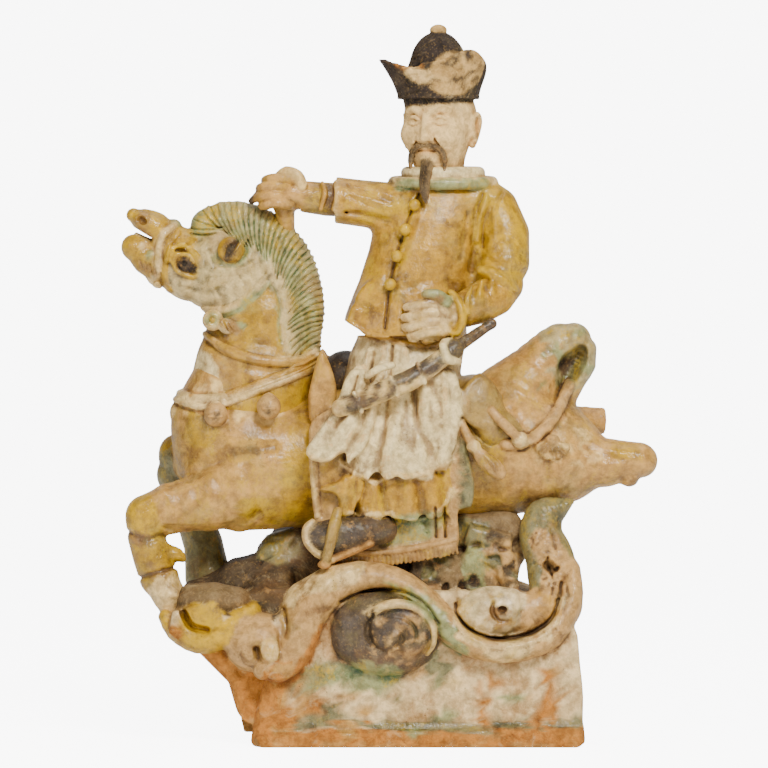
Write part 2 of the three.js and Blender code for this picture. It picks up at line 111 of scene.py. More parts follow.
# %% The clay
FAR = 60.0  # distance given to empty space
MARGIN = 7.0  # how far round a form its distances are worked out
COARSER = 1.0
rng = np.random.default_rng(71)


def smooth_path(stations, spacing):
    """Stations joined by a smooth curve and resampled about every spacing, all columns together."""
    stations = np.asarray(stations, dtype=float)
    if len(stations) < 3:
        return stations
    padded = np.vstack([2 * stations[0] - stations[1], stations, 2 * stations[-1] - stations[-2]])
    rows = []
    for i in range(1, len(padded) - 2):
        before, start, end, after = padded[i - 1 : i + 3]
        steps = max(1, int(np.linalg.norm((end - start)[: 3 if len(start) > 3 else 2]) / spacing + 0.5))
        square = 2 * before - 5 * start + 4 * end - after
        cube = 3 * start - before - 3 * end + after
        for t in np.arange(steps) / steps:
            rows.append(0.5 * (2 * start + (end - before) * t + square * t**2 + cube * t**3))
    rows.append(stations[-1])
    return np.array(rows)


def roll(stations, fine=0.6):
    """A tapered roll of clay. Each station is [x, y, z, radius] or [x, y, z, radius, half depth]."""
    stations = [list(s) + ([s[3]] if len(s) == 4 else []) for s in stations]
    smallest = min(s[3] for s in stations)
    line = smooth_path(stations, max(2.0, fine * 2 * smallest))
    cells = []
    for a, b in zip(line[:-1], line[1:]):
        reach = max(a[3], b[3], a[4], b[4])
        low = np.minimum(a[:3], b[:3]) - reach
        high = np.maximum(a[:3], b[:3]) + reach
        squeeze = (a[3] + b[3]) / (a[4] + b[4])

        def distance(x, y, z, a=a, b=b, squeeze=squeeze):
            way = np.array([b[0] - a[0], (b[1] - a[1]) * squeeze, b[2] - a[2]])
            px, py, pz = x - a[0], (y - a[1]) * squeeze, z - a[2]
            share = np.clip((px * way[0] + py * way[1] + pz * way[2]) / (way @ way + 1e-9), 0, 1)
            gap = np.sqrt(
                (px - share * way[0]) ** 2 + (py - share * way[1]) ** 2 + (pz - share * way[2]) ** 2
            )
            return (gap - a[3] - share * (b[3] - a[3])) / max(squeeze, 1.0) ** 0.5

        cells.append((low, high, distance))
    return cells


def lump(centre, radii, tilt=0.0, yaw=0.0):
    """A ball or lens of clay. Tilt turns it in the XZ plane and yaw about Z, in degrees."""
    centre, radii = np.array(centre, dtype=float), np.array(radii, dtype=float)
    ct, st = math.cos(math.radians(tilt)), math.sin(math.radians(tilt))
    cy, sy = math.cos(math.radians(yaw)), math.sin(math.radians(yaw))

    def distance(x, y, z):
        px, py, pz = x - centre[0], y - centre[1], z - centre[2]
        px, py = px * cy + py * sy, py * cy - px * sy
        px, pz = px * ct + pz * st, pz * ct - px * st
        near = np.sqrt((px / radii[0]) ** 2 + (py / radii[1]) ** 2 + (pz / radii[2]) ** 2)
        slope = np.sqrt((px / radii[0] ** 2) ** 2 + (py / radii[1] ** 2) ** 2 + (pz / radii[2] ** 2) ** 2)
        return near * (near - 1) / (slope + 1e-6)

    reach = radii.max() if tilt or yaw else radii
    return [(centre - reach, centre + reach, distance)]


def outline_gap(corners, x, z):
    """Signed distance from points in the XZ plane to a closed outline."""
    corners = np.asarray(corners, dtype=float)
    best = np.full(np.broadcast(x, z).shape, np.inf)
    inside = np.zeros(best.shape, dtype=bool)
    for a, b in zip(corners, np.roll(corners, -1, axis=0)):
        wx, wz = b - a
        px, pz = x - a[0], z - a[1]
        share = np.clip((px * wx + pz * wz) / (wx * wx + wz * wz + 1e-9), 0, 1)
        best = np.minimum(best, (px - share * wx) ** 2 + (pz - share * wz) ** 2)
        crossing = (a[1] <= z) != (b[1] <= z)
        inside ^= crossing & (x < a[0] + (z - a[1]) * wx / (wz if abs(wz) > 1e-9 else 1e-9))
    return np.where(inside, -1, 1) * np.sqrt(best)


def slab(outline, front, back, soft=2.0, curved=True, bow=None):
    """A slab of clay cut to an outline in the XZ plane. bow(x, z) carries its middle backwards."""
    corners = smooth_path(list(outline) + [outline[0]], 4.0)[:-1] if curved else np.array(outline, float)
    middle, half = (front + back) / 2, abs(back - front) / 2
    low = np.array([corners[:, 0].min(), min(front, back), corners[:, 1].min()])
    high = np.array([corners[:, 0].max(), max(front, back), corners[:, 1].max()])
    if bow is not None:
        low[1], high[1] = low[1] - 30, high[1] + 30

    def distance(x, y, z):
        flat = outline_gap(corners, x, z) + soft
        shift = bow(x, z) if bow is not None else 0.0
        deep = np.abs(y - middle - shift) - half + soft
        outside = np.sqrt(np.maximum(flat, 0) ** 2 + np.maximum(deep, 0) ** 2)
        return outside + np.minimum(np.maximum(flat, deep), 0) - soft

    return [(low, high, distance)]


def skirt(rows, folds=0, fold_depth=0.0, phase=0.0):
    """Cloth hung round a body. Rows from the top down: [x, y, z, half width, half depth]."""
    rows = np.array(rows, dtype=float)
    rows = rows[np.argsort(rows[:, 2])]
    low = np.array([(rows[:, 0] - rows[:, 3]).min(), (rows[:, 1] - rows[:, 4]).min(), rows[0, 2]])
    high = np.array([(rows[:, 0] + rows[:, 3]).max(), (rows[:, 1] + rows[:, 4]).max(), rows[-1, 2]])

    def distance(x, y, z):
        cx, cy, wide, deep = (np.interp(z, rows[:, 2], rows[:, k]) for k in (0, 1, 3, 4))
        px, py = x - cx, y - cy
        around = np.arctan2(py / deep, px / wide)
        down = np.clip((rows[-1, 2] - z) / (rows[-1, 2] - rows[0, 2]), 0, 1)
        swell = fold_depth * down * np.cos(folds * around + phase)
        near = np.sqrt((px / wide) ** 2 + (py / deep) ** 2)
        slope = np.sqrt((px / wide**2) ** 2 + (py / deep**2) ** 2) / (near + 1e-6)
        side = (near - 1) / (slope + 1e-6) - swell
        return np.maximum(side, np.maximum(z - high[2], low[2] - z))

    return [(low - fold_depth, high + fold_depth, distance)]


def box(starts, stops):
    """The part of a grid between two corners."""
    return tuple(slice(a, b) for a, b in zip(starts, stops))


class Clay:
    """A block of clay on a grid: how far each point is from the skin, and which glaze it will take."""

    def __init__(self, low, high, pitch):
        self.pitch = pitch * COARSER
        self.first = np.floor(np.array(low) / self.pitch).astype(int)
        self.count = np.ceil(np.array(high) / self.pitch).astype(int) - self.first + 1
        self.gap = np.full(self.count, FAR, np.float32)
        self.glaze = np.zeros(self.count, np.uint8)

    def window(self, low, high):
        """The part of the grid that holds a box, and its three axes in millimetres."""
        start = np.clip(np.floor(np.asarray(low) / self.pitch).astype(int) - self.first, 0, self.count)
        stop = np.clip(np.ceil(np.asarray(high) / self.pitch).astype(int) - self.first + 1, 0, self.count)
        axes = []
        for k in range(3):
            ticks = (np.arange(start[k], stop[k]) + self.first[k]) * self.pitch
            shape = [1, 1, 1]
            shape[k] = -1
            axes.append(ticks.astype(np.float32).reshape(shape))
        return start, stop, axes

    def axes(self):
        """The three axes of the whole grid."""
        return self.window(self.first * self.pitch, (self.first + self.count - 1) * self.pitch)[2]

    def work_out(self, form):
        """The distances to a form over the part of the grid round it."""
        low = np.min([cell[0] for cell in form], axis=0) - MARGIN
        high = np.max([cell[1] for cell in form], axis=0) + MARGIN
        start, stop, _ = self.window(low, high)
        where = box(start, stop)
        field = np.full(np.maximum(stop - start, 0), FAR, np.float32)
        for cell_low, cell_high, distance in form:
            inner, outer, axes = self.window(cell_low - MARGIN, cell_high + MARGIN)
            if np.all(outer > inner):
                part = box(inner - start, outer - start)
                field[part] = np.minimum(field[part], distance(*axes))
        return where, field

    def add(self, form, glaze, blend=2.0):
        """Lute a form on. Blend is the width of the soft shoulder at the joint."""
        self.melt(*self.work_out(form), glaze, blend)

    def melt(self, where, new, glaze, blend):
        """Let new distances run into the clay."""
        old = self.gap[where]
        share = np.clip(0.5 + 0.5 * (old - new) / blend, 0, 1)
        self.glaze[where] = np.where(new < old, CODE[glaze], self.glaze[where])
        self.gap[where] = old + (new - old) * share - blend * share * (1 - share)

    def cut(self, form, glaze=None, blend=1.0):
        """Cut a form away."""
        where, tool = self.work_out(form)
        old = self.gap[where]
        share = np.clip(0.5 - 0.5 * (old + tool) / blend, 0, 1)
        if glaze:
            self.glaze[where] = np.where(-tool > old - 0.8, CODE[glaze], self.glaze[where])
        self.gap[where] = old - (tool + old) * share + blend * share * (1 - share)

    def paint(self, form, glaze, reach=1.0):
        """Brush a glaze on whatever lies inside a form, or within reach of it."""
        where, brush = self.work_out(form)
        self.glaze[where] = np.where(brush < reach, CODE[glaze], self.glaze[where])

    def press(self, relief, facing=-1, middle=0.0, strength=1.0, fade=8.0):
        """Press a drawn relief into the side of the clay that faces the viewer, or the one away."""
        y = self.axes()[1]
        reach = np.clip(facing * (y - middle) / fade, 0, 1).astype(np.float32)
        self.gap -= strength * relief.height[:, None, :] * reach
        marked = (relief.mark[:, None, :] > 0) & (reach > 0.4)
        self.glaze = np.where(marked, relief.mark[:, None, :] - 1, self.glaze).astype(np.uint8)

    def handle(self, amount=0.5, size=17.0):
        """The slight unevenness of hand-modelled clay."""
        x, y, z = self.axes()
        for octave in (1.0, 0.43):
            scale = size * octave
            turns = rng.uniform(0, 6.3, 6)
            wave = np.sin(x / scale + turns[0] + 1.7 * np.sin(z / scale / 1.6 + turns[1]))
            wave = wave * np.sin(z / scale * 1.1 + turns[2] + 1.3 * np.sin(y / scale / 1.3 + turns[3]))
            wave = wave * np.cos(y / scale + turns[4])
            self.gap += (amount * octave * wave).astype(np.float32)


class Relief:
    """Ridges, folds and grooves drawn in the XZ plane, to be pressed into one side of the clay."""

    def __init__(self, clay):
        x, _, z = clay.axes()
        self.x, self.z = x[:, 0, :], z[0]
        self.height = np.zeros((self.x.size, self.z.size), np.float32)
        self.mark = np.zeros(self.height.shape, np.uint8)

    def line(self, path, width, height, glaze=None, profile="fold"):
        """A line through [x, z] or [x, z, width] points: a rounded strap, a soft fold or a groove."""
        path = [list(p) + ([width] if len(p) == 2 else []) for p in path]
        line = smooth_path(path, 2.5)
        widest = line[:, 2].max()
        near = np.full(self.height.shape, np.inf, np.float32)
        for a, b in zip(line[:-1], line[1:]):
            xs = np.flatnonzero(np.abs(self.x[:, 0] - (a[0] + b[0]) / 2) < abs(a[0] - b[0]) / 2 + widest)
            zs = np.flatnonzero(np.abs(self.z[0] - (a[1] + b[1]) / 2) < abs(a[1] - b[1]) / 2 + widest)
            if not len(xs) or not len(zs):
                continue
            part = (slice(xs[0], xs[-1] + 1), slice(zs[0], zs[-1] + 1))
            way = b[:2] - a[:2]
            px, pz = self.x[part[0]] - a[0], self.z[:, part[1]] - a[1]
            share = np.clip((px * way[0] + pz * way[1]) / (way @ way + 1e-9), 0, 1)
            gap = np.hypot(px - share * way[0], pz - share * way[1])
            near[part] = np.minimum(near[part], gap / (a[2] + share * (b[2] - a[2])))
        across = np.clip(near, 0, 1)
        if profile == "strap":
            shape = np.sqrt(1 - across**2)
        else:
            shape = 0.5 + 0.5 * np.cos(np.pi * across)
        self.height += height * shape
        if glaze:
            self.mark[near < 1] = CODE[glaze] + 1

    def scratch(self, x, z, angle, size, width, height, glaze=None):
        """A short straight mark about its middle."""
        dx, dz = size * math.cos(angle), size * math.sin(angle)
        self.line([[x - dx, z - dz], [x + dx, z + dz]], width, height, glaze)

    def patch(self, outline, height=0.0, glaze=None, soft=2.0):
        """A raised or sunken area, softened at its edge."""
        corners = smooth_path(list(outline) + [outline[0]], 4.0)[:-1]
        low, high = corners.min(axis=0) - soft, corners.max(axis=0) + soft
        xs = np.flatnonzero((self.x[:, 0] > low[0]) & (self.x[:, 0] < high[0]))
        zs = np.flatnonzero((self.z[0] > low[1]) & (self.z[0] < high[1]))
        part = (slice(xs[0], xs[-1] + 1), slice(zs[0], zs[-1] + 1))
        gap = outline_gap(corners, self.x[part[0]], self.z[:, part[1]])
        self.height[part] += height * np.clip(0.5 - gap / (2 * soft), 0, 1)
        if glaze:
            self.mark[part] = np.where(gap < 0, CODE[glaze] + 1, self.mark[part])


def over(x_from, x_to, z_from, z_to):
    """Draws random places in x and z over an upright patch."""
    return lambda: (rng.uniform(x_from, x_to), rng.uniform(z_from, z_to))


def speckle(clay, count, place, y, deep, wide, tall, turn, glaze, skin=0):
    """Flecks of glaze at random on one side of the clay, each in one of the glazes given."""
    for _ in range(count):
        x, z = place()
        fleck = lump([x, y, z], [rng.uniform(*wide), deep, rng.uniform(*tall)], tilt=rng.uniform(*turn))
        clay.paint(fleck, glaze if isinstance(glaze, str) else glaze[rng.integers(len(glaze))], skin)


def blotch(x, z, wide, below, above):
    """The outline of a blotch of glaze about a point."""
    return [(x - wide, z), (x, z - below), (x + wide, z), (x, z + above)]


print("clay ready, grid coarsened", COARSER, "times")

# %% [markdown]
# ## Casting the skin
#
# The finished clay is cast as one closed mesh, thinned to a sensible number of triangles, and given the
# normals of the smooth field, so that the facets never show. Three things are read from the clay at each
# point and kept on the mesh for the glaze shader: the colour of the glaze, how hollow the place is
# (melted glaze pools there, dirt stays, and the shader paints shade there), and how bare the clay is.

# %% Casting
CREEP = 0.8  # how far melted glaze creeps, in millimetres
DRIFT_CELL = 5.0  # length over which the edge of a glaze wanders one way
READ_DEPTH = 0.7  # how deep under the skin the glaze is read
TRIES = 10  # places mixed for each point


def read_at(field, places):
    """Values of a grid at places between its points."""
    low = np.clip(np.floor(places).astype(int), 0, np.array(field.shape) - 2)
    part = np.clip(places - low, 0, 1)
    total = 0
    for corner in np.ndindex(2, 2, 2):
        weight = np.prod(np.where(np.array(corner) == 1, part, 1 - part), axis=1)
        total = total + weight * field[tuple((low + corner).T)]
    return total


def blurred(field, reach):
    """A field averaged over a box of the given half width, in grid points."""
    for axis in range(3):
        padded = np.concatenate(
            [
                np.repeat(field.take([0], axis), reach + 1, axis),
                field,
                np.repeat(field.take([-1], axis), reach, axis),
            ],
            axis,
        )
        total = np.cumsum(padded, axis=axis, dtype=np.float64)
        size = field.shape[axis]
        window = 2 * reach + 1
        field = (
            total.take(range(window, window + size), axis) - total.take(range(size), axis)
        ) / window
    return field.astype(np.float32)


def mesh_of(name, points, faces):
    """A mesh from arrays of points and faces."""
    mesh = bpy.data.meshes.new(name)
    sides = faces.shape[1]
    mesh.vertices.add(len(points))
    mesh.vertices.foreach_set("co", points.astype(np.float32).ravel())
    mesh.loops.add(faces.size)
    mesh.loops.foreach_set("vertex_index", faces.astype(np.int32).ravel())
    mesh.polygons.add(len(faces))
    mesh.polygons.foreach_set("loop_start", np.arange(0, faces.size, sides, dtype=np.int32))
    mesh.update(calc_edges=True)
    return mesh


def places_of(mesh):
    """The places of a mesh's points."""
    places = np.empty(len(mesh.vertices) * 3, np.float32)
    mesh.vertices.foreach_get("co", places)
    return places.reshape(-1, 3)


def skin_of(clay):
    """Points and four-sided faces of the skin of the clay, in grid steps."""
    band = 3 * clay.pitch
    grid = openvdb.FloatGrid(background=band)
    grid.copyFromArray(np.ascontiguousarray(np.clip(clay.gap, -band, band)), tolerance=0.0)
    points, _, quads = grid.convertToPolygons(isovalue=0.0, adaptivity=0.0)
    return points, quads


def thinned(mesh, most):
    """The mesh with no more than most triangles."""
    item = bpy.data.objects.new(mesh.name, mesh)
    bpy.context.scene.collection.objects.link(item)
    triangles = sum(len(p.vertices) - 2 for p in mesh.polygons)
    changer = item.modifiers.new("thin", "DECIMATE")
    changer.ratio = min(1.0, most / triangles)
    changer.use_collapse_triangulate = True
    slim = bpy.data.meshes.new_from_object(item.evaluated_get(bpy.context.evaluated_depsgraph_get()))
    bpy.data.objects.remove(item)
    bpy.data.meshes.remove(mesh)
    return slim


def cast(clay, name, most, ragged):
    """Cast the clay as a piece of the model, with its glaze, hollows and bareness on the mesh."""
    pitch = clay.pitch
    points, quads = skin_of(clay)
    slim = thinned(mesh_of(name, points, quads), most)
    places = places_of(slim)

    slopes = []
    for axis in range(3):
        step = np.zeros(3)
        step[axis] = 0.6
        slopes.append(read_at(clay.gap, places + step) - read_at(clay.gap, places - step))
    normals = np.stack(slopes, axis=1)
    normals /= np.linalg.norm(normals, axis=1, keepdims=True) + 1e-9

    # How hollow or how proud each place is, seen from near and from farther off.
    half = np.clip(clay.gap[::2, ::2, ::2], -9, 9)
    near = max(1, round(1.6 / (2 * pitch)))
    wide = max(2, round(5.0 / (2 * pitch)))
    proud = read_at(blurred(half, near), places / 2) / 1.2
    open_ = read_at(blurred(half, wide), places / 2) / 3.0

    # Melted glaze creeps past its edge. Each place mixes the glazes found a little way round it, and the
    # edges wander by up to a few millimetres.
    cell = DRIFT_CELL / pitch
    drift = rng.normal(0, ragged / pitch, (3, *(np.array(clay.gap.shape) / cell + 2).astype(int)))
    drift = np.stack([read_at(part, places / cell) for part in drift], axis=1)
    mixed = np.zeros((len(places), 7))
    table = np.array([np.concatenate([linear(a), linear(b), [bare]]) for a, b, bare in GLAZES.values()])
    for _ in range(TRIES):
        wander = rng.normal(0, CREEP, (len(places), 3)) / pitch
        spots = np.round(places + wander + drift - normals * READ_DEPTH / pitch)
        spots = np.clip(spots, 0, clay.count - 1).astype(int)
        mixed += table[clay.glaze[tuple(spots.T)]]
    mixed /= TRIES

    scale = pitch / 1000
    slim.vertices.foreach_set("co", ((places + clay.first) * scale).astype(np.float32).ravel())
    slim.update()
    piece = bpy.data.objects.new(name, slim)
    bpy.context.scene.collection.objects.link(piece)
    slim.shade_smooth()
    slim.normals_split_custom_set_from_vertices(normals.tolist())
    for label, columns in (("thin_glaze", mixed[:, :3]), ("pooled_glaze", mixed[:, 3:6])):
        colour = slim.color_attributes.new(label, "FLOAT_COLOR", "POINT")
        colour.data.foreach_set("color", np.column_stack([columns, np.ones(len(places))]).ravel())
    for label, column in (("bareness", mixed[:, 6]), ("proud", proud), ("open", open_)):
        value = slim.attributes.new(label, "FLOAT", "POINT")
        value.data.foreach_set("value", column.astype(np.float32))
    print(name, len(slim.polygons), "triangles from", len(quads), "grid faces")
    return piece

# %% [markdown]
# ## The horse's body
#
# The barrel is one thick roll, squashed a little, with the haunch, the chest and the forearms luted to
# it while still soft, so every joint has a broad shoulder. Both hind legs are broken off at the hock on
# the real piece and stay broken here. The folded near foreleg rests its hoof on the clouds.

# %% The horse's body
horse = Clay((-178, -58, 76), (180, 52, 276), 1.0)
BARREL = [
    [-100, 0, 184, 39, 35],
    [-58, 0, 179, 42, 38],
    [-6, 0, 184, 46, 40],
    [52, 0, 188, 46, 39],
    [92, 0, 187, 38, 35],
]
horse.add(roll(BARREL), "orange")
horse.add(roll([[-100, 0, 197, 33, 34], [-113, 0, 208, 27, 28], [-104, 0, 226, 26, 26]]), "tan", 14)
horse.add(roll([[84, -8, 186, 39, 29], [114, -12, 182, 27, 25], [138, -16, 179, 14.5, 17]]), "tan", 12)
horse.add(roll([[134, -16, 179.5, 14.5, 17], [150, -16, 181, 12.5, 15], [160, -16, 181, 11.5, 14]]), "tan",
    6)
horse.add(roll([[92, 14, 196, 29, 24], [116, 20, 202, 14, 15], [137, 22, 205, 8.4, 9]]), "tan", 8)
# The broken ends show the bare clay.
horse.add(lump([165, -16, 179], [6, 10, 8], tilt=-20), "bare clay", 3)
horse.add(lump([154, -18, 169], [6, 7, 5]), "brown", 3)
horse.cut(lump([145, 22, 205], [7, 12, 12]), "bare clay", 1)
horse.paint(lump([88, -30, 146], [30, 20, 16]), "brown", 0)
speckle(horse, 16, over(84, 134, 178, 210), -34, 14, (2, 6), (1.5, 4), (-60, 30), "blush")

# The near foreleg: forearm thrown forward, knee, cannon, fetlock and hoof.
NEAR_FORELEG = [
    [-84, -18, 168, 33, 22],
    [-116, -26, 156, 22, 18],
    [-140, -30, 151, 16.5, 15],
    [-155, -30, 146, 13, 14],
]
horse.add(roll(NEAR_FORELEG), "tan", 10)
NEAR_CANNON = [
    [-155, -30, 146, 12.5, 13.5],
    [-156, -30, 132, 11.5, 12],
    [-152, -30, 118, 12, 12.5],
    [-148, -30, 107, 12.5, 13.5],
]
horse.add(roll(NEAR_CANNON), "amber", 5)
horse.add(roll([[-145, -30, 123, 5, 6], [-136, -30, 121, 4, 5], [-132, -30, 118, 1.5, 2]]), "amber", 3)
horse.add(roll([[-146, -30, 104, 11, 13], [-141, -31, 95, 10.5, 14], [-141, -31, 89, 7, 11]]), "cream", 2)
speckle(horse, 22, over(-130, -70, 205, 240), -30, 40, (3, 8), (2, 6), (-60, 60), "blush")
horse.paint(lump([-158, -30, 142], [14, 22, 22]), "yellow", 0)

# The far foreleg is folded higher and rests its shank on the clouds.
FAR_FORELEG = [
    [-104, 16, 180, 21, 20],
    [-132, 24, 179, 17, 16],
    [-137, 26, 170, 14, 14],
    [-130, 26, 148, 12, 13],
    [-121, 24, 124, 13, 14],
    [-118, 22, 104, 15, 17],
]
horse.add(roll(FAR_FORELEG), "moss", 6)
horse.add(lump([-134, 24, 184], [15, 14, 12], tilt=-20), "amber", 5)

# The tail is a flattened roll curled over on itself, with a pocket inside the curl painted dark as shade.
TAIL = [
    [76, 0, 208, 34, 28],
    [90, 0, 232, 21, 23],
    [101, 0, 246, 16, 19],
    [110, 0, 255, 13.5, 17],
    [119, 0, 258, 11, 15],
    [126, 0, 252, 7.5, 13],
    [126.5, 0, 242, 6.5, 12],
    [121, 0, 232, 6, 12],
    [114, 0, 221, 7, 13],
]
horse.add(roll(TAIL), "tan", 3)
horse.paint(roll([[104, -8, 262, 9, 20], [121, -8, 262, 10, 20], [129, -8, 248, 8, 20],
    [122, -8, 230, 7, 20]]), "mane", 0)
# Painted shade: the back of the curl is brown.
horse.add(lump([113, 6, 240], [16, 8, 20], tilt=-35), "brown", 3)
horse.cut(roll([[124.5, -16, 252, 3, 14], [121, -17, 247, 6.6, 17], [116, -17, 240, 8.4, 17],
    [113.5, -17, 232, 6, 15], [113, -17, 226, 2.4, 9]]), "moss", 2)
speckle(horse, 40, over(98, 132, 228, 270), -14, 16, (2, 6), (2, 5), (0, 90), ("mane", "green"), -1)
# Painted shade, dark in the pocket of the curl.
horse.paint(lump([114, -3, 242], [6, 10, 8], tilt=-35), "soot", -1)
horse.add(roll([[92, 0, 214, 18, 20], [105, 0, 209, 14, 17], [114, 0, 205, 9, 14]]), "tan", 6)

# %% [markdown]
# Straps, bells and creases are pressed in last. The show side gets them all; the far side gets the
# straps and the broad creases only.

# %% Harness and creases of the horse
shown, hidden = Relief(horse), Relief(horse)
BREAST_STRAP = [[-140, 223], [-136, 222], [-122, 218.5], [-106, 220], [-84, 228], [-58, 238], [-44, 245]]
for drawing in (shown, hidden):
    for lift in (2.4, -2.2):
        drawing.line([[x, z + lift] for x, z in BREAST_STRAP], 2.6, 2.6, "cream", "strap")
    drawing.line([[x, z - 6.5] for x, z in BREAST_STRAP], 2.4, -1.0)
    crupper = [[116, 229], [113, 224], [109, 215], [101.5, 204.5], [93, 197], [83, 192], [74, 192]]
    drawing.line(crupper, 3.8, 3.4, "buff", "strap")
    drawing.line([[70, 211], [77, 202], [83, 194]], 3.6, 3.2, "buff", "strap")
    drawing.line([[84, 195], [84, 194]], 5.2, 4.6, "cream", "strap")
# Muscles: the fold of the forearm, the stifle and the edge of the thigh.
for stroke in (
    ([[-84, 148, 5], [-104, 137, 6], [-128, 137, 5], [-142, 139, 3]], 5, -1.6),
    ([[-140, 164, 5], [-118, 176, 7], [-96, 186, 8], [-74, 190, 6]], 6, -2.0),
    ([[78, 214, 4], [86, 190, 8], [90, 165, 9], [84, 146, 6]], 8, -1.2),
    ([[126, 190, 5], [138, 184, 6], [150, 182, 3]], 5, -1.3),
    ([[-160, 153, 3], [-150, 160, 4], [-138, 163, 3]], 3, 1.2),
    ([[-166, 136, 3], [-156, 131, 4], [-145, 134, 3]], 3, -1.3, "brown"),
    ([[-160, 106, 2], [-150, 110, 3], [-137, 113, 2]], 2.4, -1.8, "brown"),
):
    shown.line(*stroke)
# Amber has run down the chest, the forearm and the flank.
AMBER_RUNS = [
    [(-60, 214), (-48, 200), (-50, 150), (-62, 140), (-70, 160)],
    [(-96, 146), (-60, 142), (-20, 140), (-20, 150), (-60, 156), (-96, 158)],
    [(-130, 214), (-112, 206), (-116, 190), (-132, 196)],
    [(142, 191), (160, 190), (163, 183), (150, 182), (140, 185)],
]
for run in AMBER_RUNS:
    shown.patch(run, 0, "amber")
shown.patch([(58, 178), (74, 176), (78, 164), (70, 154), (56, 160)], 0, "orange")
horse.handle(0.55)
horse.press(shown, -1, 4)
horse.press(hidden, 1, 0, 0.8)

# Bells hang from the breast strap, one of them in profile on the chest.
for x, y, z, size in ((-111, -34, 211, 7.6), (-77, -39, 216, 7.8)):
    horse.add(lump([x, y, z], [size, size, size * 1.05]), "buff", 1)
    horse.add(roll([[x - 4, y - size + 0.5, z - 1, 1.1], [x + 4, y - size + 0.5, z - 1, 1.1]]), "buff", 0.6)
    # The slots of the bells are painted dark as shade.
    horse.cut(roll([[x - 3.5, y - size - 0.8, z - 3.4, 0.9], [x + 3.5, y - size - 0.8, z - 3.4, 0.9]]),
        "soot")
    horse.cut(roll([[x, y - size - 0.6, z - 2, 0.8], [x, y - size - 0.2, z - 7, 0.9]]), "soot")
    horse.add(lump([x, y + 1, z + 6.5], [3.4, 3.4, 2.6]), "cream", 1)
horse.add(lump([-136, -6, 211], [5.5, 6, 8]), "cream", 1)
horse.add(lump([-135, -5, 203], [2.4, 3, 4]), "green", 1.5)

# %% [markdown]
# The locks of the mane and the cords of the fringe repeat along a path. One small tree of Geometry Nodes
# sets them both out, so their count and sizes stay easy to change.

# %% A row of things along a path
class Board:
    """A node tree, wired by short calls."""

    def __init__(self, tree):
        self.nodes, self.links = tree.nodes, tree.links
        self.nodes.clear()

    def put(self, kind, inputs=None, **settings):
        """A node with its settings, its inputs given as values or as outputs of other nodes."""
        node = self.nodes.new(kind)
        for key, value in settings.items():
            setattr(node, key, value)
        for key, value in (inputs or {}).items():
            if isinstance(value, bpy.types.NodeSocket):
                self.links.new(value, node.inputs[key])
            else:
                node.inputs[key].default_value = value
        return node

    def sum(self, operation, a, b, clamp=False):
        return self.put("ShaderNodeMath", {0: a, 1: b}, operation=operation, use_clamp=clamp).outputs[0]

    def ramp(self, value, low, high, out_low=0.0, out_high=1.0):
        """A value between two limits, eased into a share."""
        inputs = {0: value, 1: low, 2: high, 3: out_low, 4: out_high}
        return self.put("ShaderNodeMapRange", inputs, interpolation_type="SMOOTHSTEP").outputs[0]

    def blend(self, share, a, b, kind="MIX"):
        node = self.put("ShaderNodeMix", {0: share}, data_type="RGBA", blend_type=kind)
        for socket, value in ((6, a), (7, b)):
            if isinstance(value, bpy.types.NodeSocket):
                self.links.new(value, node.inputs[socket])
            else:
                node.inputs[socket].default_value = (*value, 1)
        return node.outputs[2]

    def noise(self, where, scale, detail=4.0, rough=0.55, warp=0.0):
        inputs = {"Vector": where, "Scale": scale, "Detail": detail, "Roughness": rough, "Distortion": warp}
        return self.put("ShaderNodeTexNoise", inputs).outputs[0]

    def kept(self, name, output="Fac"):
        return self.put("ShaderNodeAttribute", attribute_name=name).outputs[output]


def row_tree():
    """Copies of one object set along a curve, turned to it and scaled by its radius."""
    tree = bpy.data.node_groups.new("Row along a path", "GeometryNodeTree")
    names = {}
    for label, kind in (
        ("Geometry", "Geometry"),
        ("Count", "Int"),
        ("Pattern", "Object"),
        ("Uneven size", "Float"),
        ("Material", "Material"),
    ):
        socket = tree.interface.new_socket(label, in_out="INPUT", socket_type="NodeSocket" + kind)
        names[label] = socket.identifier
    tree.interface.new_socket("Geometry", in_out="OUTPUT", socket_type="NodeSocketGeometry")

    b = Board(tree)
    given = b.put("NodeGroupInput").outputs
    radius = b.put("GeometryNodeInputRadius").outputs[0]
    keep = b.put("GeometryNodeStoreNamedAttribute",
        {"Name": "size", "Geometry": given["Geometry"], "Value": radius})
    points = b.put("GeometryNodeCurveToPoints", {"Curve": keep.outputs[0], "Count": given["Count"]},
        mode="COUNT")
    size = b.put("GeometryNodeInputNamedAttribute", {"Name": "size"}).outputs[0]
    smallest = b.sum("SUBTRACT", 1.0, given["Uneven size"])
    chance = b.put("FunctionNodeRandomValue", {"Seed": 5, 2: smallest, 3: 1.0}).outputs[1]
    thing = b.put("GeometryNodeObjectInfo", {"Object": given["Pattern"]}).outputs["Geometry"]
    inputs = {"Points": points.outputs["Points"], "Rotation": points.outputs["Rotation"]}
    inputs |= {"Instance": thing, "Scale": b.sum("MULTIPLY", size, chance)}
    place = b.put("GeometryNodeInstanceOnPoints", inputs).outputs[0]
    real = b.put("GeometryNodeRealizeInstances", {0: place}).outputs[0]
    paint = b.put("GeometryNodeSetMaterial", {"Geometry": real, "Material": given["Material"]}).outputs[0]
    b.put("NodeGroupOutput", {0: paint})
    return tree, names


ROW, ROW_NAMES = row_tree()
wet_clay = bpy.data.materials.new("wet clay")


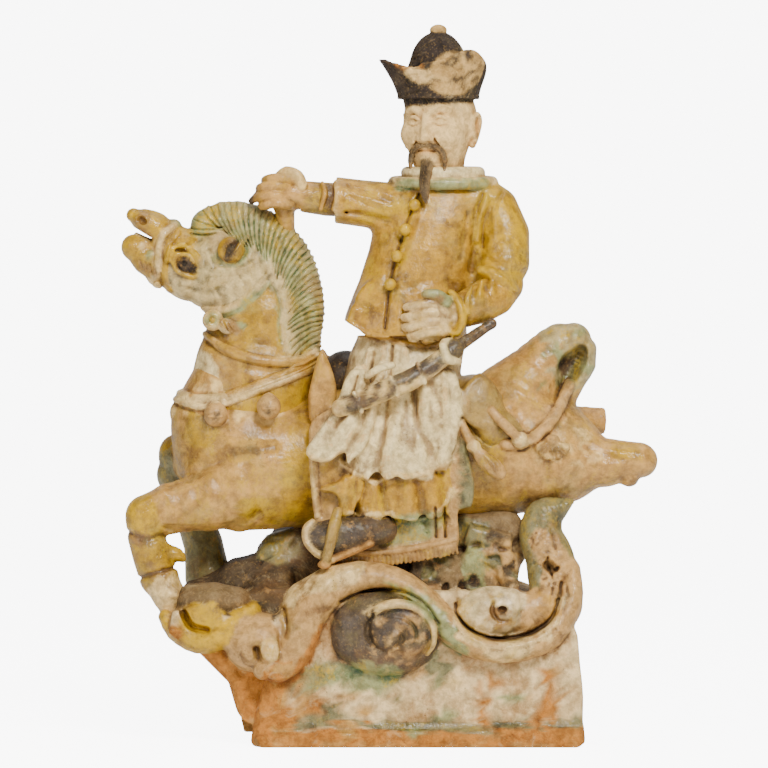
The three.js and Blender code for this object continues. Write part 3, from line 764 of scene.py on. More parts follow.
def row(path, pattern, count, uneven):
    """A row of copies of a pattern mesh along [x, y, z, size] points, as one plain mesh."""
    curve = bpy.data.curves.new("path", "CURVE")
    curve.dimensions = "3D"
    line = smooth_path(path, 3.0)
    spline = curve.splines.new("POLY")
    spline.points.add(len(line) - 1)
    for point, (x, y, z, size) in zip(spline.points, line):
        point.co = (x, y, z, 1)
        point.radius = size
    holder = bpy.data.objects.new("row", curve)
    sample = bpy.data.objects.new("pattern", pattern)
    for item in (holder, sample):
        bpy.context.scene.collection.objects.link(item)
    changer = holder.modifiers.new("row", "NODES")
    changer.node_group = ROW
    given = {"Count": count, "Pattern": sample, "Uneven size": uneven, "Material": wet_clay}
    for label, value in given.items():
        changer[ROW_NAMES[label]] = value
    made = bpy.data.meshes.new_from_object(holder.evaluated_get(bpy.context.evaluated_depsgraph_get()))
    bpy.data.objects.remove(holder)
    bpy.data.objects.remove(sample)
    return made


def lute(clay, mesh, glaze, blend):
    """Lute a mesh on to the clay."""
    places = places_of(mesh)
    mesh.calc_loop_triangles()
    corners = np.empty(len(mesh.loop_triangles) * 3, np.int32)
    mesh.loop_triangles.foreach_get("vertices", corners)
    band = 3 * clay.pitch
    grid = openvdb.FloatGrid.createLevelSetFromPolygons(
        places,
        triangles=corners.reshape(-1, 3).astype(np.uint32),
        transform=openvdb.createLinearTransform(clay.pitch),
        halfWidth=3,
    )
    start, stop, _ = clay.window(places.min(axis=0) - band, places.max(axis=0) + band)
    field = np.full(stop - start, band, np.float32)
    grid.copyToArray(field, ijk=tuple(int(v) for v in start + clay.first))
    clay.melt(box(start, stop), np.where(field >= band * 0.99, FAR, field), glaze, blend)


def pattern_of(form, low, high, pitch):
    """A small form as a mesh, to be copied along a path."""
    block = Clay(low, high, pitch)
    block.add(form, "cream")
    points, quads = skin_of(block)
    return mesh_of("pattern", (points + block.first) * block.pitch, quads)


print("row of things ready")

# %% [markdown]
# Seven ribs fan out from under the crupper to make the shell tassel, and they are luted over the haunch.

# %% The shell tassel
RIBS = 7
for k in range(RIBS):
    angle = math.radians(205 + 130 * k / (RIBS - 1))
    rib = []
    for reach, size in ((3.0, 1.6), (6.5, 2.3), (9.6, 2.6)):
        x, z = reach * math.cos(angle), reach * math.sin(angle)
        rib.append([104 + x, -39.5 + 0.1 * abs(x), 194 + z, size, 4.4])
    horse.add(roll(rib), "blush", 0.8)
for k in range(RIBS - 1):
    angle = math.radians(216 + 108 * k / (RIBS - 2))
    groove = []
    for reach in (3, 7, 12):
        x, z = reach * math.cos(angle), reach * math.sin(angle)
        groove.append([104 + x, -44.6 + 0.1 * reach, 194 + z, 0.75, 1.6])
    horse.cut(roll(groove), "brown", 0.4)
horse.add(lump([104, -40, 195], [4.6, 5, 3.6]), "buff", 1)

# %% [markdown]
# ## Neck, head and mane
#
# The neck is arched, so the throat is short and the crest long. The mouth is open in a curled snarl:
# lips are thin rolls laid over the jaw, and the noseband and cheek strap are pressed in between.

# %% Neck and head
head = Clay((-178, -46, 205), (-36, 42, 356), 0.62)
NECK = [
    [-92, 0, 212, 40, 31],
    [-87, 0, 239, 38.5, 28],
    [-82, 0, 271, 33, 24],
    [-85, 0, 299, 28, 20],
    [-95, 0, 314, 24, 17],
]
head.add(roll(NECK), "amber")
CHEEK = [
    [-92, 0, 305, 26, 20],
    [-112, 0, 302, 25, 19],
    [-128, 0, 303, 20, 17],
    [-139, 0, 309, 16.5, 14.5],
]
head.add(roll(CHEEK), "bone", 6)
head.add(roll([[-134, 0, 316, 15, 13], [-146, 0, 323, 12, 12], [-154, 0, 330, 10, 11.5]]), "yellow", 5)
head.add(roll([[-150, 0, 331, 9, 11.5], [-158, 0, 334.5, 8, 10.5], [-165, 0, 338.5, 4.6, 8]]), "yellow", 3)
head.add(roll([[-136, 0, 302, 12, 13], [-148, 0, 304, 10, 12], [-156, 0, 309, 9, 11]]), "amber", 4)
head.add(roll([[-157, 0, 311, 8.4, 11], [-164, 0, 317.5, 8.8, 10.5]]), "yellow", 4)
head.add(lump([-151, 0, 297.5], [4.6, 8, 4.4]), "cream", 3)
# The parted lips: a slit cut right through, with the tongue left standing in it.
head.cut(roll([[-176, 0, 331, 3.4, 30], [-165, 0, 328.5, 1.9, 30], [-154, 0, 322.5, 1.5, 30]]), "brown", 2)
head.add(roll([[-150, 0, 318, 3.6, 8], [-158, 0, 322.4, 2.6, 7], [-163, 0, 326, 1.4, 5]]), "rose", 1)

for side in (-1, 1):
    # Nostril: a flared ring with a drilled hole.
    head.add(lump([-158, side * 7.5, 334.5], [6.5, 4.5, 5], tilt=-35), "yellow", 2)
    head.cut(lump([-159, side * 11.5, 335], [3.6, 4, 2.6], tilt=-35), "brown", 1)
    # Eye: socket pressed in, ball, two lids and a brow roll.
    head.cut(lump([-130.5, side * 20, 307], [9.5, 5.5, 7.6], tilt=-38), None, 3)
    head.add(lump([-130.5, side * 15.4, 306.8], [7.6, 5, 5.4], tilt=-38), "hat", 0.8)
    head.cut(lump([-131.4, side * 20.2, 307.4], [2.2, 1.6, 2.2]), "soot", 0.4)
    for lid, size in (
        ([[-138.5, 308.5], [-136, 313.5], [-130, 313], [-124.5, 307], [-122, 301]], 1.5),
        ([[-138.5, 308], [-136.5, 303], [-131, 300], [-125.5, 298.6], [-122, 300.6]], 1.3),
        ([[-141, 310.5], [-139, 317], [-131.5, 318.5], [-123.5, 312], [-119.5, 303]], 2.3),
    ):
        head.add(roll([[x, side * (17.4 - 0.012 * (x + 131) ** 2), z, size] for x, z in lid]), "yellow",
            1.2)
head.add(lump([-139, 0, 331.5], [5, 9, 4.5]), "green", 2)

# %% [markdown]
# The headstall is pressed over the cheek, and the two reins meet the crest under the rider's fist.

# %% Headstall and reins
shown, hidden = Relief(head), Relief(head)
for drawing in (shown, hidden):
    # Noseband, jaw strap and cheek strap.
    for stroke in (
        ([[-139, 331], [-145, 326], [-148, 318], [-148.5, 308], [-150, 299]], 2.6, 1.8, "cream", "strap"),
        ([[-136, 327], [-141.5, 320], [-143.5, 311], [-144.5, 301], [-142, 290]], 2.2, 1.2, "amber",
            "strap"),
        ([[-150, 293], [-145, 284], [-132, 276], [-118, 269.6], [-112, 268]], 2.8, 2.0, "cream", "strap"),
        ([[-120, 276], [-104, 277], [-90, 285], [-78, 297], [-73, 305]], 3.6, 1.8, "cream", "strap"),
        ([[-116, 270], [-100, 276], [-86, 286], [-76, 300]], 2.4, -1.2, "green"),
    ):
        drawing.line(*stroke)
    for nick in ([[-114, 311], [-112, 305]], [[-98, 301], [-93, 294]], [[-110.5, 291], [-109, 287]]):
        drawing.line(nick, 2.0, -0.7, "green")
    drawing.line([[-116, 316], [-110, 307], [-98, 305], [-88, 310], [-84, 318]], 2.4, -1.2)
    drawing.line([[-84, 318], [-82, 308], [-79, 300], [-72, 290], [-69, 274], [-69, 258]], 2.6, -1.3,
        "green")
    for lift in (2.4, -2.2):
        drawing.line([[x, z + lift] for x, z in BREAST_STRAP], 2.6, 2.6, "cream", "strap")
    # Jaw line and the folds of the throat.
    for stroke in (
        ([[-128, 291, 4], [-118, 289, 5], [-106, 292, 4], [-96, 299, 3]], 4, -1.2),
        ([[-140, 322, 3], [-134, 316, 4], [-122, 322, 4]], 4, -1.2),
        ([[-119, 262, 2], [-106, 253, 3.4], [-90, 247, 3.4], [-74, 244.5, 3.4], [-57, 245, 3.4],
            [-43, 251.6, 3]], 3.4, 2.8, "cream", "strap"),
        ([[-104, 268.5, 3], [-98, 267, 3.2], [-92, 268.5, 1.5]], 3, 1.8, "green", "strap"),
        ([[-116, 256, 4], [-104, 246, 5], [-88, 240, 5], [-70, 238, 4]], 5, -1.2, "amber"),
    ):
        drawing.line(*stroke)
    # Short nicks between the lips and the noseband.
    for k in range(4):
        drawing.line([[-150 - 3 * k, 300 + 1.6 * k], [-151 - 3 * k, 305 + 1.4 * k]], 1.4, -0.9, "brown")
    # The cheek and the neck stay pale, the chest is orange.
    for patch in (
        ([(-122, 325), (-100, 334), (-78, 326), (-70, 306), (-84, 290), (-104, 281), (-122, 284)], 0,
            "bone"),
        ([(-84, 318), (-66, 316), (-56, 290), (-56, 252), (-68, 252), (-70, 276), (-76, 296)], 0, "bone"),
        ([(-122, 262), (-104, 256), (-70, 246), (-48, 248), (-48, 240), (-80, 232), (-110, 222),
            (-140, 224), (-134, 246)], 0, "orange"),
        ([(-124, 252), (-112, 246), (-110, 228), (-126, 226)], 0, "rose"),
    ):
        drawing.patch(*patch)
head.handle(0.35, 12)
head.press(shown, -1, 1, fade=6)
head.press(hidden, 1, 1, 0.8, fade=6)
for side in (-1, 1):
    # Bit rings at the corner of the mouth, and the rosette where the straps cross.
    head.add(lump([-153.5, side * 9.5, 312], [3.5, 3, 3.5]), "green", 1)
    head.add(lump([-159.6, side * 9, 318.4], [3, 2.6, 3]), "cream", 1)
    head.add(lump([-113.2, side * 22, 271], [6.8, 4, 6.8]), "cream", 1.5)
    head.cut(lump([-113.2, side * 27.5, 271], [3.4, 3.6, 3.4]), "green", 1)
    head.add(lump([-113.2, side * 24, 271], [2, 2, 2]), "amber", 0.6)
    head.add(lump([-104, side * 21.5, 267], [6, 4, 5], tilt=-20), "olive white", 1)
    for k in range(3):
        head.cut(roll([[-107 + 3 * k, side * 26.5, 271 - k, 0.7, 2.4],
            [-103.5 + 3 * k, side * 25.5, 264, 0.8, 2]]), "brown", 0.5)
    # Ear: a cupped leaf lying back over the mane, with a slit painted dark as shade and a groove pressed
    # round it.
    head.cut(roll([[-112, side * 23, 312, 1.2, 4], [-106, side * 24, 307, 1.4, 4],
        [-98, side * 24, 308, 1.4, 4], [-91, side * 22, 316, 1.2, 4]]), "green", 1.5)
    head.add(lump([-101.6, side * 20.5, 316], [8.6, 6, 8.4]), "amber", 1)
    head.add(roll([[-97, side * 20, 320, 4.8, 4.4], [-91, side * 19, 324.5, 1.6, 2]]), "amber", 1.2)
    head.cut(roll([[-104.5, side * 26.5, 311.5, 1.6, 3.5], [-101.5, side * 27, 317, 2.8, 3.5],
        [-97, side * 25.5, 321, 1.3, 3]]), "soot", 1)

# %% [markdown]
# The mane is one long crest of clay. Its locks are set across it side by side, thin at the neck and
# thick at the edge, and glaze pools green between them. The same tree sets them out along the crest
# from the forelock to the withers.

# %% The mane
CREST = [
    [-121, 0, 325, 7],
    [-114, 0, 335, 9.5],
    [-98, 0, 335, 12.5],
    [-80, 0, 328, 13],
    [-65, 0, 314, 12.5],
    [-56, 0, 297, 11],
    [-52.5, 0, 278, 10.5],
    [-53.5, 0, 262, 9.5],
    [-52, 0, 250, 7.5],
]
head.add(roll(CREST), "mane", 3)
# A lock is a flattened ring round the path, leaning back, with its ends buried in the neck.
lock = []
for k in range(25):
    angle = 2 * math.pi * k / 24
    lock.append([0.97 * math.cos(angle), 0.97 * math.sin(angle), -0.5 * math.sin(angle), 0.085, 0.085])
LOCK = pattern_of(roll(lock, fine=1.0), (-1.25, -1.25, -0.8), (1.25, 1.25, 0.8), 0.032)
LOCKS = 38
lute(head, row(CREST, LOCK, LOCKS, 0.04), "mane", 1.0)
# The inner edge of the mane is a plain band, with the smooth neck behind it.
band = [
    [-114, 0, 327, 5, 11], [-98, 0, 324, 7, 14], [-84, 0, 318, 7, 16.5], [-75, 0, 304, 7, 17],
    [-68, 0, 284, 7, 17], [-65, 0, 262, 7, 18], [-64, 0, 246, 7, 19]
]
head.add(roll(band), "bone", 4)
head.add(lump([-120, 0, 332], [8, 12, 9]), "green", 3)
# Between every two locks a groove runs on over the side of the crest and down towards the neck.
crest = smooth_path(CREST, 1.0)
lengths = np.append(0, np.cumsum(np.hypot(*np.diff(crest[:, [0, 2]], axis=0).T)))
GROOVE = ((1.0, -0.5), (0.2, -0.25), (-0.6, 0.2), (-1.3, 0.8))  # shares of the crest's half width
shown, hidden = Relief(head), Relief(head)
for k in range(LOCKS - 1):
    at = lengths[-1] * (k + 0.5) / (LOCKS - 1)
    x, z, size = (np.interp(at, lengths, crest[:, c]) for c in (0, 2, 3))
    ahead = [np.interp(at + 1, lengths, crest[:, c]) - v for c, v in ((0, x), (2, z))]
    along = np.array(ahead) / (np.hypot(*ahead) + 1e-9)
    out = np.array([-along[1], along[0]])
    points = [np.array([x, z]) + size * (a * out + b * along) for a, b in GROOVE]
    reach = rng.uniform(0.3, 1.0)
    points[3] = points[2] + (points[3] - points[2]) * reach
    for drawing in (shown, hidden):
        drawing.line([[*points[0], 0.6], [*points[1], 1.1], [*points[2], 1.1], [*points[3], 0.5]], 1.3,
            -1.2, "green")
head.press(shown, -1, 0, fade=3)
head.press(hidden, 1, 0, 0.6, fade=3)
print("mane of", LOCKS, "locks")

# %% [markdown]
# ## The ridge tile and its clouds
#
# The tile is a block with a round-headed hollow along its underside, so it straddles the roof ridge. Its
# front is glazed down to an olive line, and the lip below was wiped back to orange clay. The clouds are
# thick ribbons of clay whose ends are wound into volutes. Each one is luted on in front of the last.

# %% The ridge tile
clouds = Clay((-152, -78, -3), (134, 76, 168), 0.9)
TILE_FRONT, TILE_BACK, HOLLOW_CROWN, HOLLOW_HALF = -57, 60, 38, 48
TILE = [
    (-95, 0),
    (-99, 26),
    (-103, 40),
    (-121, 58),
    (-140, 73),
    (-138, 86),
    (-112, 94),
    (-70, 100),
    (0, 100),
    (84, 98),
    (112, 92),
    (120, 70),
    (123, 32),
    (123, 6),
    (119, 0),
]
clouds.add(slab(TILE, TILE_FRONT, TILE_BACK, soft=3, curved=False), "slip")
LIP = [(-93, 0), (-95, 8), (0, 10.5), (122, 12), (124, 3), (119, 0)]
clouds.add(slab(LIP, -62, 62, soft=2.2, curved=False), "chip", 5)


def hollow(x, y, z):
    """The round-headed tunnel over the ridge."""
    near = np.sqrt((y / HOLLOW_HALF) ** 2 + (z / HOLLOW_CROWN) ** 2)
    return (near - 1) * HOLLOW_CROWN + 0 * x


tunnel = [(np.array([-160, -48, -10]), np.array([140, 48, 38]), hollow)]
# The left end is broken back to bare clay, and its front corner is chipped.
clouds.cut(slab([(-160, -8), (-92, -8), (-74, 64), (-160, 64)], -90, -46, curved=False), "bare clay", 10)
clouds.paint(slab([(-160, -8), (-76, -8), (-72, 66), (-160, 82)], -90, 90, curved=False), "chip", 0)
clouds.cut(lump([-96, -62, 2], [14, 12, 9], tilt=-20), "bare clay", 2)

# %% [markdown]
# Behind the ribbons, rough heaps of bare clay carry the belly of the horse and the far foreleg. The left
# heap and the roll at its foot lie in the shade of the belly and are painted dark as that shade.

# %% The heaps under the belly
# Painted shade: this roll and the left heap are glazed dark for the shade under the belly.
clouds.add(roll([[-122, 16, 90, 14, 26], [-100, 14, 96, 17, 30], [-70, 12, 100, 20, 36]]), "soot", 4)
LEFT_HEAP = [
    (-112, 90), (-106, 112), (-97, 116), (-88, 119), (-80, 131), (-66, 136), (-40, 140), (-20, 140),
    (-20, 92)
]
clouds.add(slab(LEFT_HEAP, -16, 40, soft=9, bow=lambda x, z: 0.16 * (z - 90)), "soot", 5)
RIGHT_HEAP = [
    (-30, 92), (-26, 130), (10, 146), (48, 146), (76, 148), (86, 140), (88, 122), (84, 112), (80, 100),
    (76, 90)
]
clouds.add(slab(RIGHT_HEAP, -30, 34, soft=6, bow=lambda x, z: 0.1 * (z - 90)), "rock", 4)
clouds.add(slab([(44, 92), (46, 124), (52, 140), (78, 134), (83, 112), (82, 92)], -36, -20, soft=4,
    curved=False), "rock", 3)
clouds.add(slab([(10, 92), (14, 118), (28, 128), (44, 120), (50, 94)], -37, -24, soft=4, curved=False),
    "rock", 3)
clouds.paint(lump([-72, -20, 126], [16, 30, 12]), "moss", 0)
clouds.paint(lump([46, -34, 134], [20, 22, 12]), "moss", 0)
# Painted shadow under the saddlecloth, on the left of the right heap.
clouds.paint(lump([16, -34, 116], [18, 30, 16], tilt=30), "soot", 0)
clouds.paint(lump([72, -34, 118], [14, 22, 14]), "buff", 0)
clouds.paint(lump([54, -36, 112], [8, 22, 14]), "green", 0)
clouds.paint(lump([-40, -20, 104], [34, 30, 8]), "rock", 0)
knocks = Relief(clouds)
for _ in range(60):
    x, z = rng.uniform(-120, 92), rng.uniform(96, 146)
    angle, size = rng.uniform(0, 3.14), rng.uniform(4, 11)
    dx, dz = size * math.cos(angle), size * math.sin(angle)
    knocks.line([[x - dx, z - dz], [x + rng.normal(0, 2), z], [x + dx, z + dz]], rng.uniform(2.0, 4.5),
        rng.uniform(-2.4, 1.3))
clouds.press(knocks, -1, -2)
clouds.press(knocks, 1, 8, 0.8)

# %% [markdown]
# The cream ribbon springs from a round curl on the left, arches over the dark volute and sweeps along
# the foot of the wisp on the right.

# %% Ribbons and volutes
# Nicks in the heaps show the body of the clay.
for _ in range(18):
    x, z = rng.uniform(10, 82), rng.uniform(98, 138)
    nick = lump([x, -38, z], [rng.uniform(2, 6), 4, rng.uniform(1.5, 5)], tilt=rng.uniform(-60, 60))
    clouds.cut(nick, ("rock", "moss", "soot")[rng.integers(3)], 2)
# A hollow behind the left curl, painted dark as shade.
RECESS = [(-112, 88), (-104, 101), (-76, 106), (-52, 110), (-50, 98), (-60, 88), (-76, 82), (-96, 82)]
clouds.cut(slab(RECESS, -90, -40, soft=6), "soot", 3)
clouds.paint(slab(RECESS, -60, -20, soft=3), "soot", 0)
# This roll between the near foreleg and the ribbon is glazed dark as painted shade.
clouds.add(roll([[-126, -34, 92, 11, 16], [-112, -38, 92, 12, 18], [-98, -36, 92, 9, 18]]), "rock", 4)
# Yellow cloud under the near hoof: a ball lying in a crescent.
CRESCENT = [
    [-143, -40, 82, 4.5, 8],
    [-136, -43, 73, 6.5, 11],
    [-122, -47, 67, 8, 13],
    [-107, -47, 71, 8.5, 14],
    [-96, -45, 80, 8, 13],
    [-87, -42, 87, 5, 9],
]
clouds.add(roll(CRESCENT), "yellow", 2)
clouds.add(lump([-119, -47, 84], [10.5, 10, 9.5], tilt=25), "yellow", 1.5)
clouds.cut(roll([[-131, -54, 85, 2.6, 7], [-126, -57, 77, 2.6, 7], [-116, -58, 74.5, 2, 6]]), "brown", 1.5)
# Left curl.
clouds.add(lump([-84, -48, 66], [21, 19, 19]), "buff", 4)
clouds.add(lump([-76, -62, 62], [8.5, 9, 9.5], tilt=10), "cream", 1)
clouds.cut(roll([[-84.5, -67, 63, 2, 6], [-82, -68, 54.5, 2.4, 6], [-77, -68, 52, 1.6, 5]]), "brown", 1)
clouds.cut(roll([[-68.5, -67, 67, 1.4, 7], [-68, -67, 58, 2.4, 8], [-72, -67, 52.5, 1.8, 6]]), "brown", 1)
ARCH = [
    [-80, -58, 50, 7, 9],
    [-70, -57, 51, 9, 11],
    [-60, -56, 62, 11, 12],
    [-54, -55, 80, 12, 13],
    [-43, -53, 96, 12.5, 14],
    [-26, -51, 106, 11, 14],
    [-6, -51, 108.5, 8.5, 14],
    [10, -53, 103, 8.5, 13],
    [24, -57, 92, 8.5, 12],
    [36, -60, 78, 9, 11],
    [47, -61, 69, 9, 11],
    [66, -61, 63, 8.5, 11],
    [86, -60, 64, 8, 11],
    [103, -57, 71, 8, 11],
    [112, -52, 84, 8, 11],
    [116.5, -47, 98, 7, 10],
    [115.5, -43, 112, 6.5, 10],
]
clouds.add(roll(ARCH), "buff", 2)
clouds.add(roll([[-62, -46, 74, 12, 14], [-53, -48, 92, 14, 14], [-36, -48, 103, 12, 14]]), "cream", 5)
clouds.paint(lump([-38, -60, 112], [26, 26, 12], tilt=20), "cream", 0)
# Dark volute: a lens, a fat outer coil, and a second turn standing proud inside it.
clouds.add(lump([-3, -56, 72], [35, 18, 26.5], tilt=-6), "black", 2)
COIL = [
    [-12, -70, 86, 2.6, 6],
    [-3, -71, 91, 3, 6],
    [9, -71, 92, 3, 6],
    [20, -70, 87.5, 3, 6],
    [27, -68, 78, 3, 6],
    [27.5, -67, 67, 2.4, 6],
    [24, -65, 60, 1.4, 4],
]
clouds.add(lump([8, -66, 75], [20, 10, 18], tilt=-10), "black", 1)
clouds.add(roll(COIL), "cream", 1.5)
clouds.cut(roll([[-10, -76, 86, 1, 5], [-13.5, -76, 79, 2.2, 6.5], [-13.5, -76, 72, 2.6, 7],
    [-9, -77, 65, 2, 6], [-2, -78, 61.5, 1, 5]]), "soot", 1.5)
clouds.cut(roll([[-2, -77, 84, 0.8, 3], [6, -78, 84.5, 1, 3.4], [15, -77, 79, 1, 3.4],
    [17, -77, 70, 1, 3.4], [12, -77, 62, 0.9, 3]]), None, 1.5)
clouds.add(lump([3, -72, 70], [8, 6, 7.5]), "black", 2)
speckle(clouds, 36, lambda: (rng.normal(10, 9), rng.normal(66, 8)), -72, 14, (1, 3.4), (0.8, 2), (0, 90),
    "buff")
clouds.cut(roll([[8, -79, 73, 1.5, 4], [7.5, -79, 68, 2.4, 5], [3, -79, 65, 1.2, 4]]), "soot", 1)
# Right volute, with the hooked eye, and the pocket of the ribbon under it.
clouds.add(lump([64, -54, 86], [23, 15, 16.5], tilt=8), "olive white", 2)
clouds.add(roll([[78, -56, 95, 6, 9], [76, -58, 88, 5.5, 9], [71, -60, 87, 4, 7]]), "olive white", 2)
clouds.add(roll([[86, -52, 84, 12, 11], [103, -48, 92, 12, 10]]), "buff", 3)
clouds.cut(roll([[66, -69, 93, 1.2, 4], [65, -70, 87, 2, 5], [69, -70, 81.5, 2, 5], [76, -69, 81, 1.3, 4]]),
    "brown", 1.2)
# The hole of the hooked eye is painted dark as shade.
clouds.cut(lump([71.5, -68, 88.5], [3.2, 5, 2.4]), "soot", 1)
clouds.cut(roll([[86, -66, 98, 5, 10], [92, -62, 103, 6, 12], [98, -58, 105, 3, 10]]), None, 2)
# Wisp licking up to the haunch, its face broken to the clay, with a small hole in it.
WISP = [
    [107, -46, 88, 15, 11],
    [104.5, -40, 106, 16, 11],
    [102, -37, 120, 15.5, 11],
    [97, -32, 133, 14, 11],
    [99, -30, 145, 12, 10],
    [108, -30, 151, 7, 8],
    [116, -30, 155, 2.5, 5],
]
clouds.add(roll(WISP), "moss", 3)
# The small hole is painted dark as shade.
clouds.cut(lump([102, -51, 115], [4.4, 8, 3.4], tilt=-40), "soot", 1.5)

# %% [markdown]
# Grooves follow the edges of the ribbons, patches of green run down the face of the tile, and the wisp
# is knocked back to bare clay.

# %% Grooves and patches of the clouds
shown, hidden = Relief(clouds), Relief(clouds)
EDGE = [[42, 91], [43, 84], [50, 76], [62, 70.5], [76, 69.5], [90, 73], [102, 81], [107, 92], [109.5, 104]]
shown.line(EDGE, 2.2, -2.6, "brown")
shown.line([[x + 0.6, z - 4] for x, z in EDGE], 3.0, 1.5, "cream")
shown.line([[-31, 93], [-20, 98], [-6, 100.5], [9, 99.5], [22, 92], [31, 80]], 2.0, -2.0, "brown")
shown.line([[-67, 62], [-60, 80], [-49, 97], [-34, 110], [-20, 115]], 5, 1.2)
shown.line([[-67, 88], [-65, 78], [-66, 70]], 2.4, -1.8, "brown")
shown.line([[-78, 47], [-66, 44], [-55, 52], [-49, 64], [-44, 76]], 3, 1.0, "chip")
shown.patch([(-6, 108), (22, 98), (36, 84), (44, 72), (52, 62), (40, 60), (30, 76), (8, 96)], 0, "green")
TILE_GLAZES = ("green", "moss", "buff", "cream", "tan", "olive white")
for _ in range(30):
    x, z = rng.uniform(-70, 116), rng.uniform(14, 50)
    wide, tall = rng.uniform(3, 11), rng.uniform(2, 7)
    shown.patch(blotch(x, z, wide, tall * rng.uniform(0.4, 1), tall), 0, TILE_GLAZES[rng.integers(6)])
for patch in (
    ([(60, 62), (66, 56), (84, 58), (92, 66), (76, 66)], 0, "cream"),
    ([(-60, 36), (-40, 40), (-12, 34), (4, 40), (4, 52), (-20, 54), (-52, 52), (-62, 46)], 0, "green"),
    ([(-54, 16), (-40, 14), (-28, 18), (-32, 27), (-50, 27)], 0, "moss"),
    ([(22, 46), (34, 42), (40, 52), (34, 60), (24, 58)], 0, "moss"),
    ([(10, 9), (18, 5), (21, 11), (16, 16), (9, 14)], 0, "green"),
):
    shown.patch(*patch)
shown.line([[-74, 13], [-20, 14.5], [60, 13], [118, 16]], 3.2, 0.5, "moss")
shown.line([[-78, 4], [-73, 30], [-68, 52]], 6, 0.4, "chip")
for k in range(24):
    x, z, size = (60, 100)[k % 2] + rng.normal(0, 4), rng.uniform(12, 50), rng.uniform(1.5, 4)
    shown.patch(blotch(x, z, size, 2 * size, 2 * size), 0, "chip")
for _ in range(40):
    x, z, size = -72 + rng.exponential(16), rng.uniform(10, 52), rng.uniform(2, 6)
    shown.patch(blotch(x, z, size, size, size), 0, ("chip", "tan")[rng.integers(2)])
for _ in range(70):
    along = rng.uniform(0, 1)
    x, z = 106 - 9 * along + rng.normal(0, 4), 92 + 48 * along
    angle, size = rng.normal(1.5, 0.7), rng.uniform(1.5, 5)
    shown.scratch(x, z, angle, size, rng.uniform(1.2, 2.6), rng.uniform(-1.3, 0.7))
shown.patch([(96, 100), (112, 96), (118, 108), (112, 126), (100, 139), (90, 132), (96, 116)], -0.5, "buff")
shown.patch([(94, 100), (112, 84), (106, 82), (92, 90)], 0, "tan")
hidden.line([[-70, 60], [-52, 96], [-10, 112], [30, 90], [70, 62], [110, 82]], 12, 4, "cream")
hidden.patch([(-36, 60), (-20, 44), (12, 44), (30, 62), (24, 88), (-4, 96), (-32, 84)], 7, "olive white", 9)
hidden.patch([(44, 74), (62, 66), (84, 74), (84, 94), (62, 102), (46, 92)], 5, "olive white", 8)
clouds.handle(0.5)
clouds.press(shown, -1, -26, fade=4)
clouds.press(hidden, 1, 40, fade=5)
clouds.paint(lump([-119, -52, 80], [15, 16, 12], tilt=10), "yellow", 0)
clouds.cut(tunnel, "bare clay", 2)
clouds.cut(slab([(-170, -12), (170, -12), (170, 0), (-170, 0)], -90, 90, soft=0.1, curved=False),
    "bare clay", 0.5)
print("clouds stand", round(float(clouds.count[2] * clouds.pitch)), "mm high on the tile")

# %% [markdown]
# ## The rider
#
# The rider sits upright, one arm reaching out to the crest of the mane and the other akimbo with the
# hand laid flat below the belt. The coat and skirts are slabs of clay wrapped round a core, so their
# folds open towards the hems.

# %% Saddle, cloth and skirts
rider = Clay((-96, -74, 108), (100, 66, 374), 0.82)
# Core that the cloth is wrapped round, buried in the back of the horse.
rider.add(roll([[8, 0, 200, 34, 34], [12, -2, 240, 32, 26], [20, -4, 262, 30, 22]]), "rose")
# Saddle, its cantle rising behind the rider, and the pommel flap in front.
rider.add(roll([[40, -2, 212, 22, 36], [54, -2, 216, 20, 38], [58, -2, 212, 21, 40]]), "saddle", 5)
rider.add(lump([57, -30, 218], [14, 14, 16], tilt=12), "saddle", 3)
flap = [
    (46, 226), (51, 233), (58, 237.5), (65, 232), (70.5, 223), (70.5, 212), (66, 203), (54, 203), (46, 212)
]
rider.add(slab(flap, -45, -24, soft=4, bow=lambda x, z: 0.35 * (x - 55) + 0.2 * (z - 218)), "saddle", 3)
rider.add(roll([[66, -30, 202, 15, 12], [84, -28, 198, 9, 10]]), "saddle", 5)
rider.add(lump([-28, 18, 234], [17, 18, 17]), "boot", 3)
for side in (-1, 1):
    flap = [
        (-52, 222), (-48.5, 238), (-43.5, 252), (-37, 240), (-34, 226), (-37, 210), (-46, 202), (-51, 208)
    ]
    rider.add(slab(flap, side * 18, side * 37, soft=4), "tan", 3)
    # Saddlecloth, hanging past the belly.
    cloth = [
        (-52, 190), (-50, 166), (-47, 142), (-40, 122), (-34, 120), (0, 120), (26, 124), (43, 127),
        (44, 150), (52, 152)
    ]
    cloth += [(54, 168), (50, 188), (44, 206), (0, 226), (-46, 210)]
    rider.add(slab(cloth, side * 34, side * 44, soft=2.5), "buff" if side < 0 else "saddle", 2)
# Under-robe over each leg, then the tunic skirt spread over it.
for side in (-1, 1):
    robe = [
        [9, side * 38, 202, 28, 10], [8, side * 41, 176, 31, 11], [7, side * 42, 158, 32, 12],
        [8, side * 42, 145, 31, 12]
    ]
    rider.add(skirt(robe, 3, 0.8, 0.6), "gold" if side < 0 else "orange", 1.2)
SKIRT = [
    [13, -6, 268, 30, 24],
    [11, -5, 250, 36, 33],
    [7, -3, 226, 38, 44],
    [3, -1, 202, 41, 53],
    [-1, 0, 184, 42, 59],
    [0, 0, 172, 38, 61],
]
rider.add(skirt(SKIRT, 5, 0.6, 0.3), "rose", 1.2)
corner = [
    (20, 240), (40, 240), (45, 226), (44.5, 206), (41, 186), (39, 179.5), (28, 174), (15, 171), (14, 200)
]
rider.add(slab(corner, -53, -38, soft=5, bow=lambda x, z: 0.1 * (z - 200)), "rose", 4)
HEM = [
    (-54, 186), (-45, 181), (-37, 182), (-31, 186), (-30, 178), (-21, 172), (-9, 166.5), (-1, 171),
    (5, 172.5), (14, 171), (28, 174), (41, 181)
]
below_hem = [*HEM, (58, 176), (60, 160), (-62, 160), (-62, 184)]
for front, back in ((-80, -55.5), (55.5, 80)):
    rider.cut(slab(below_hem, front, back, soft=0.6, curved=False), None, 0.8)
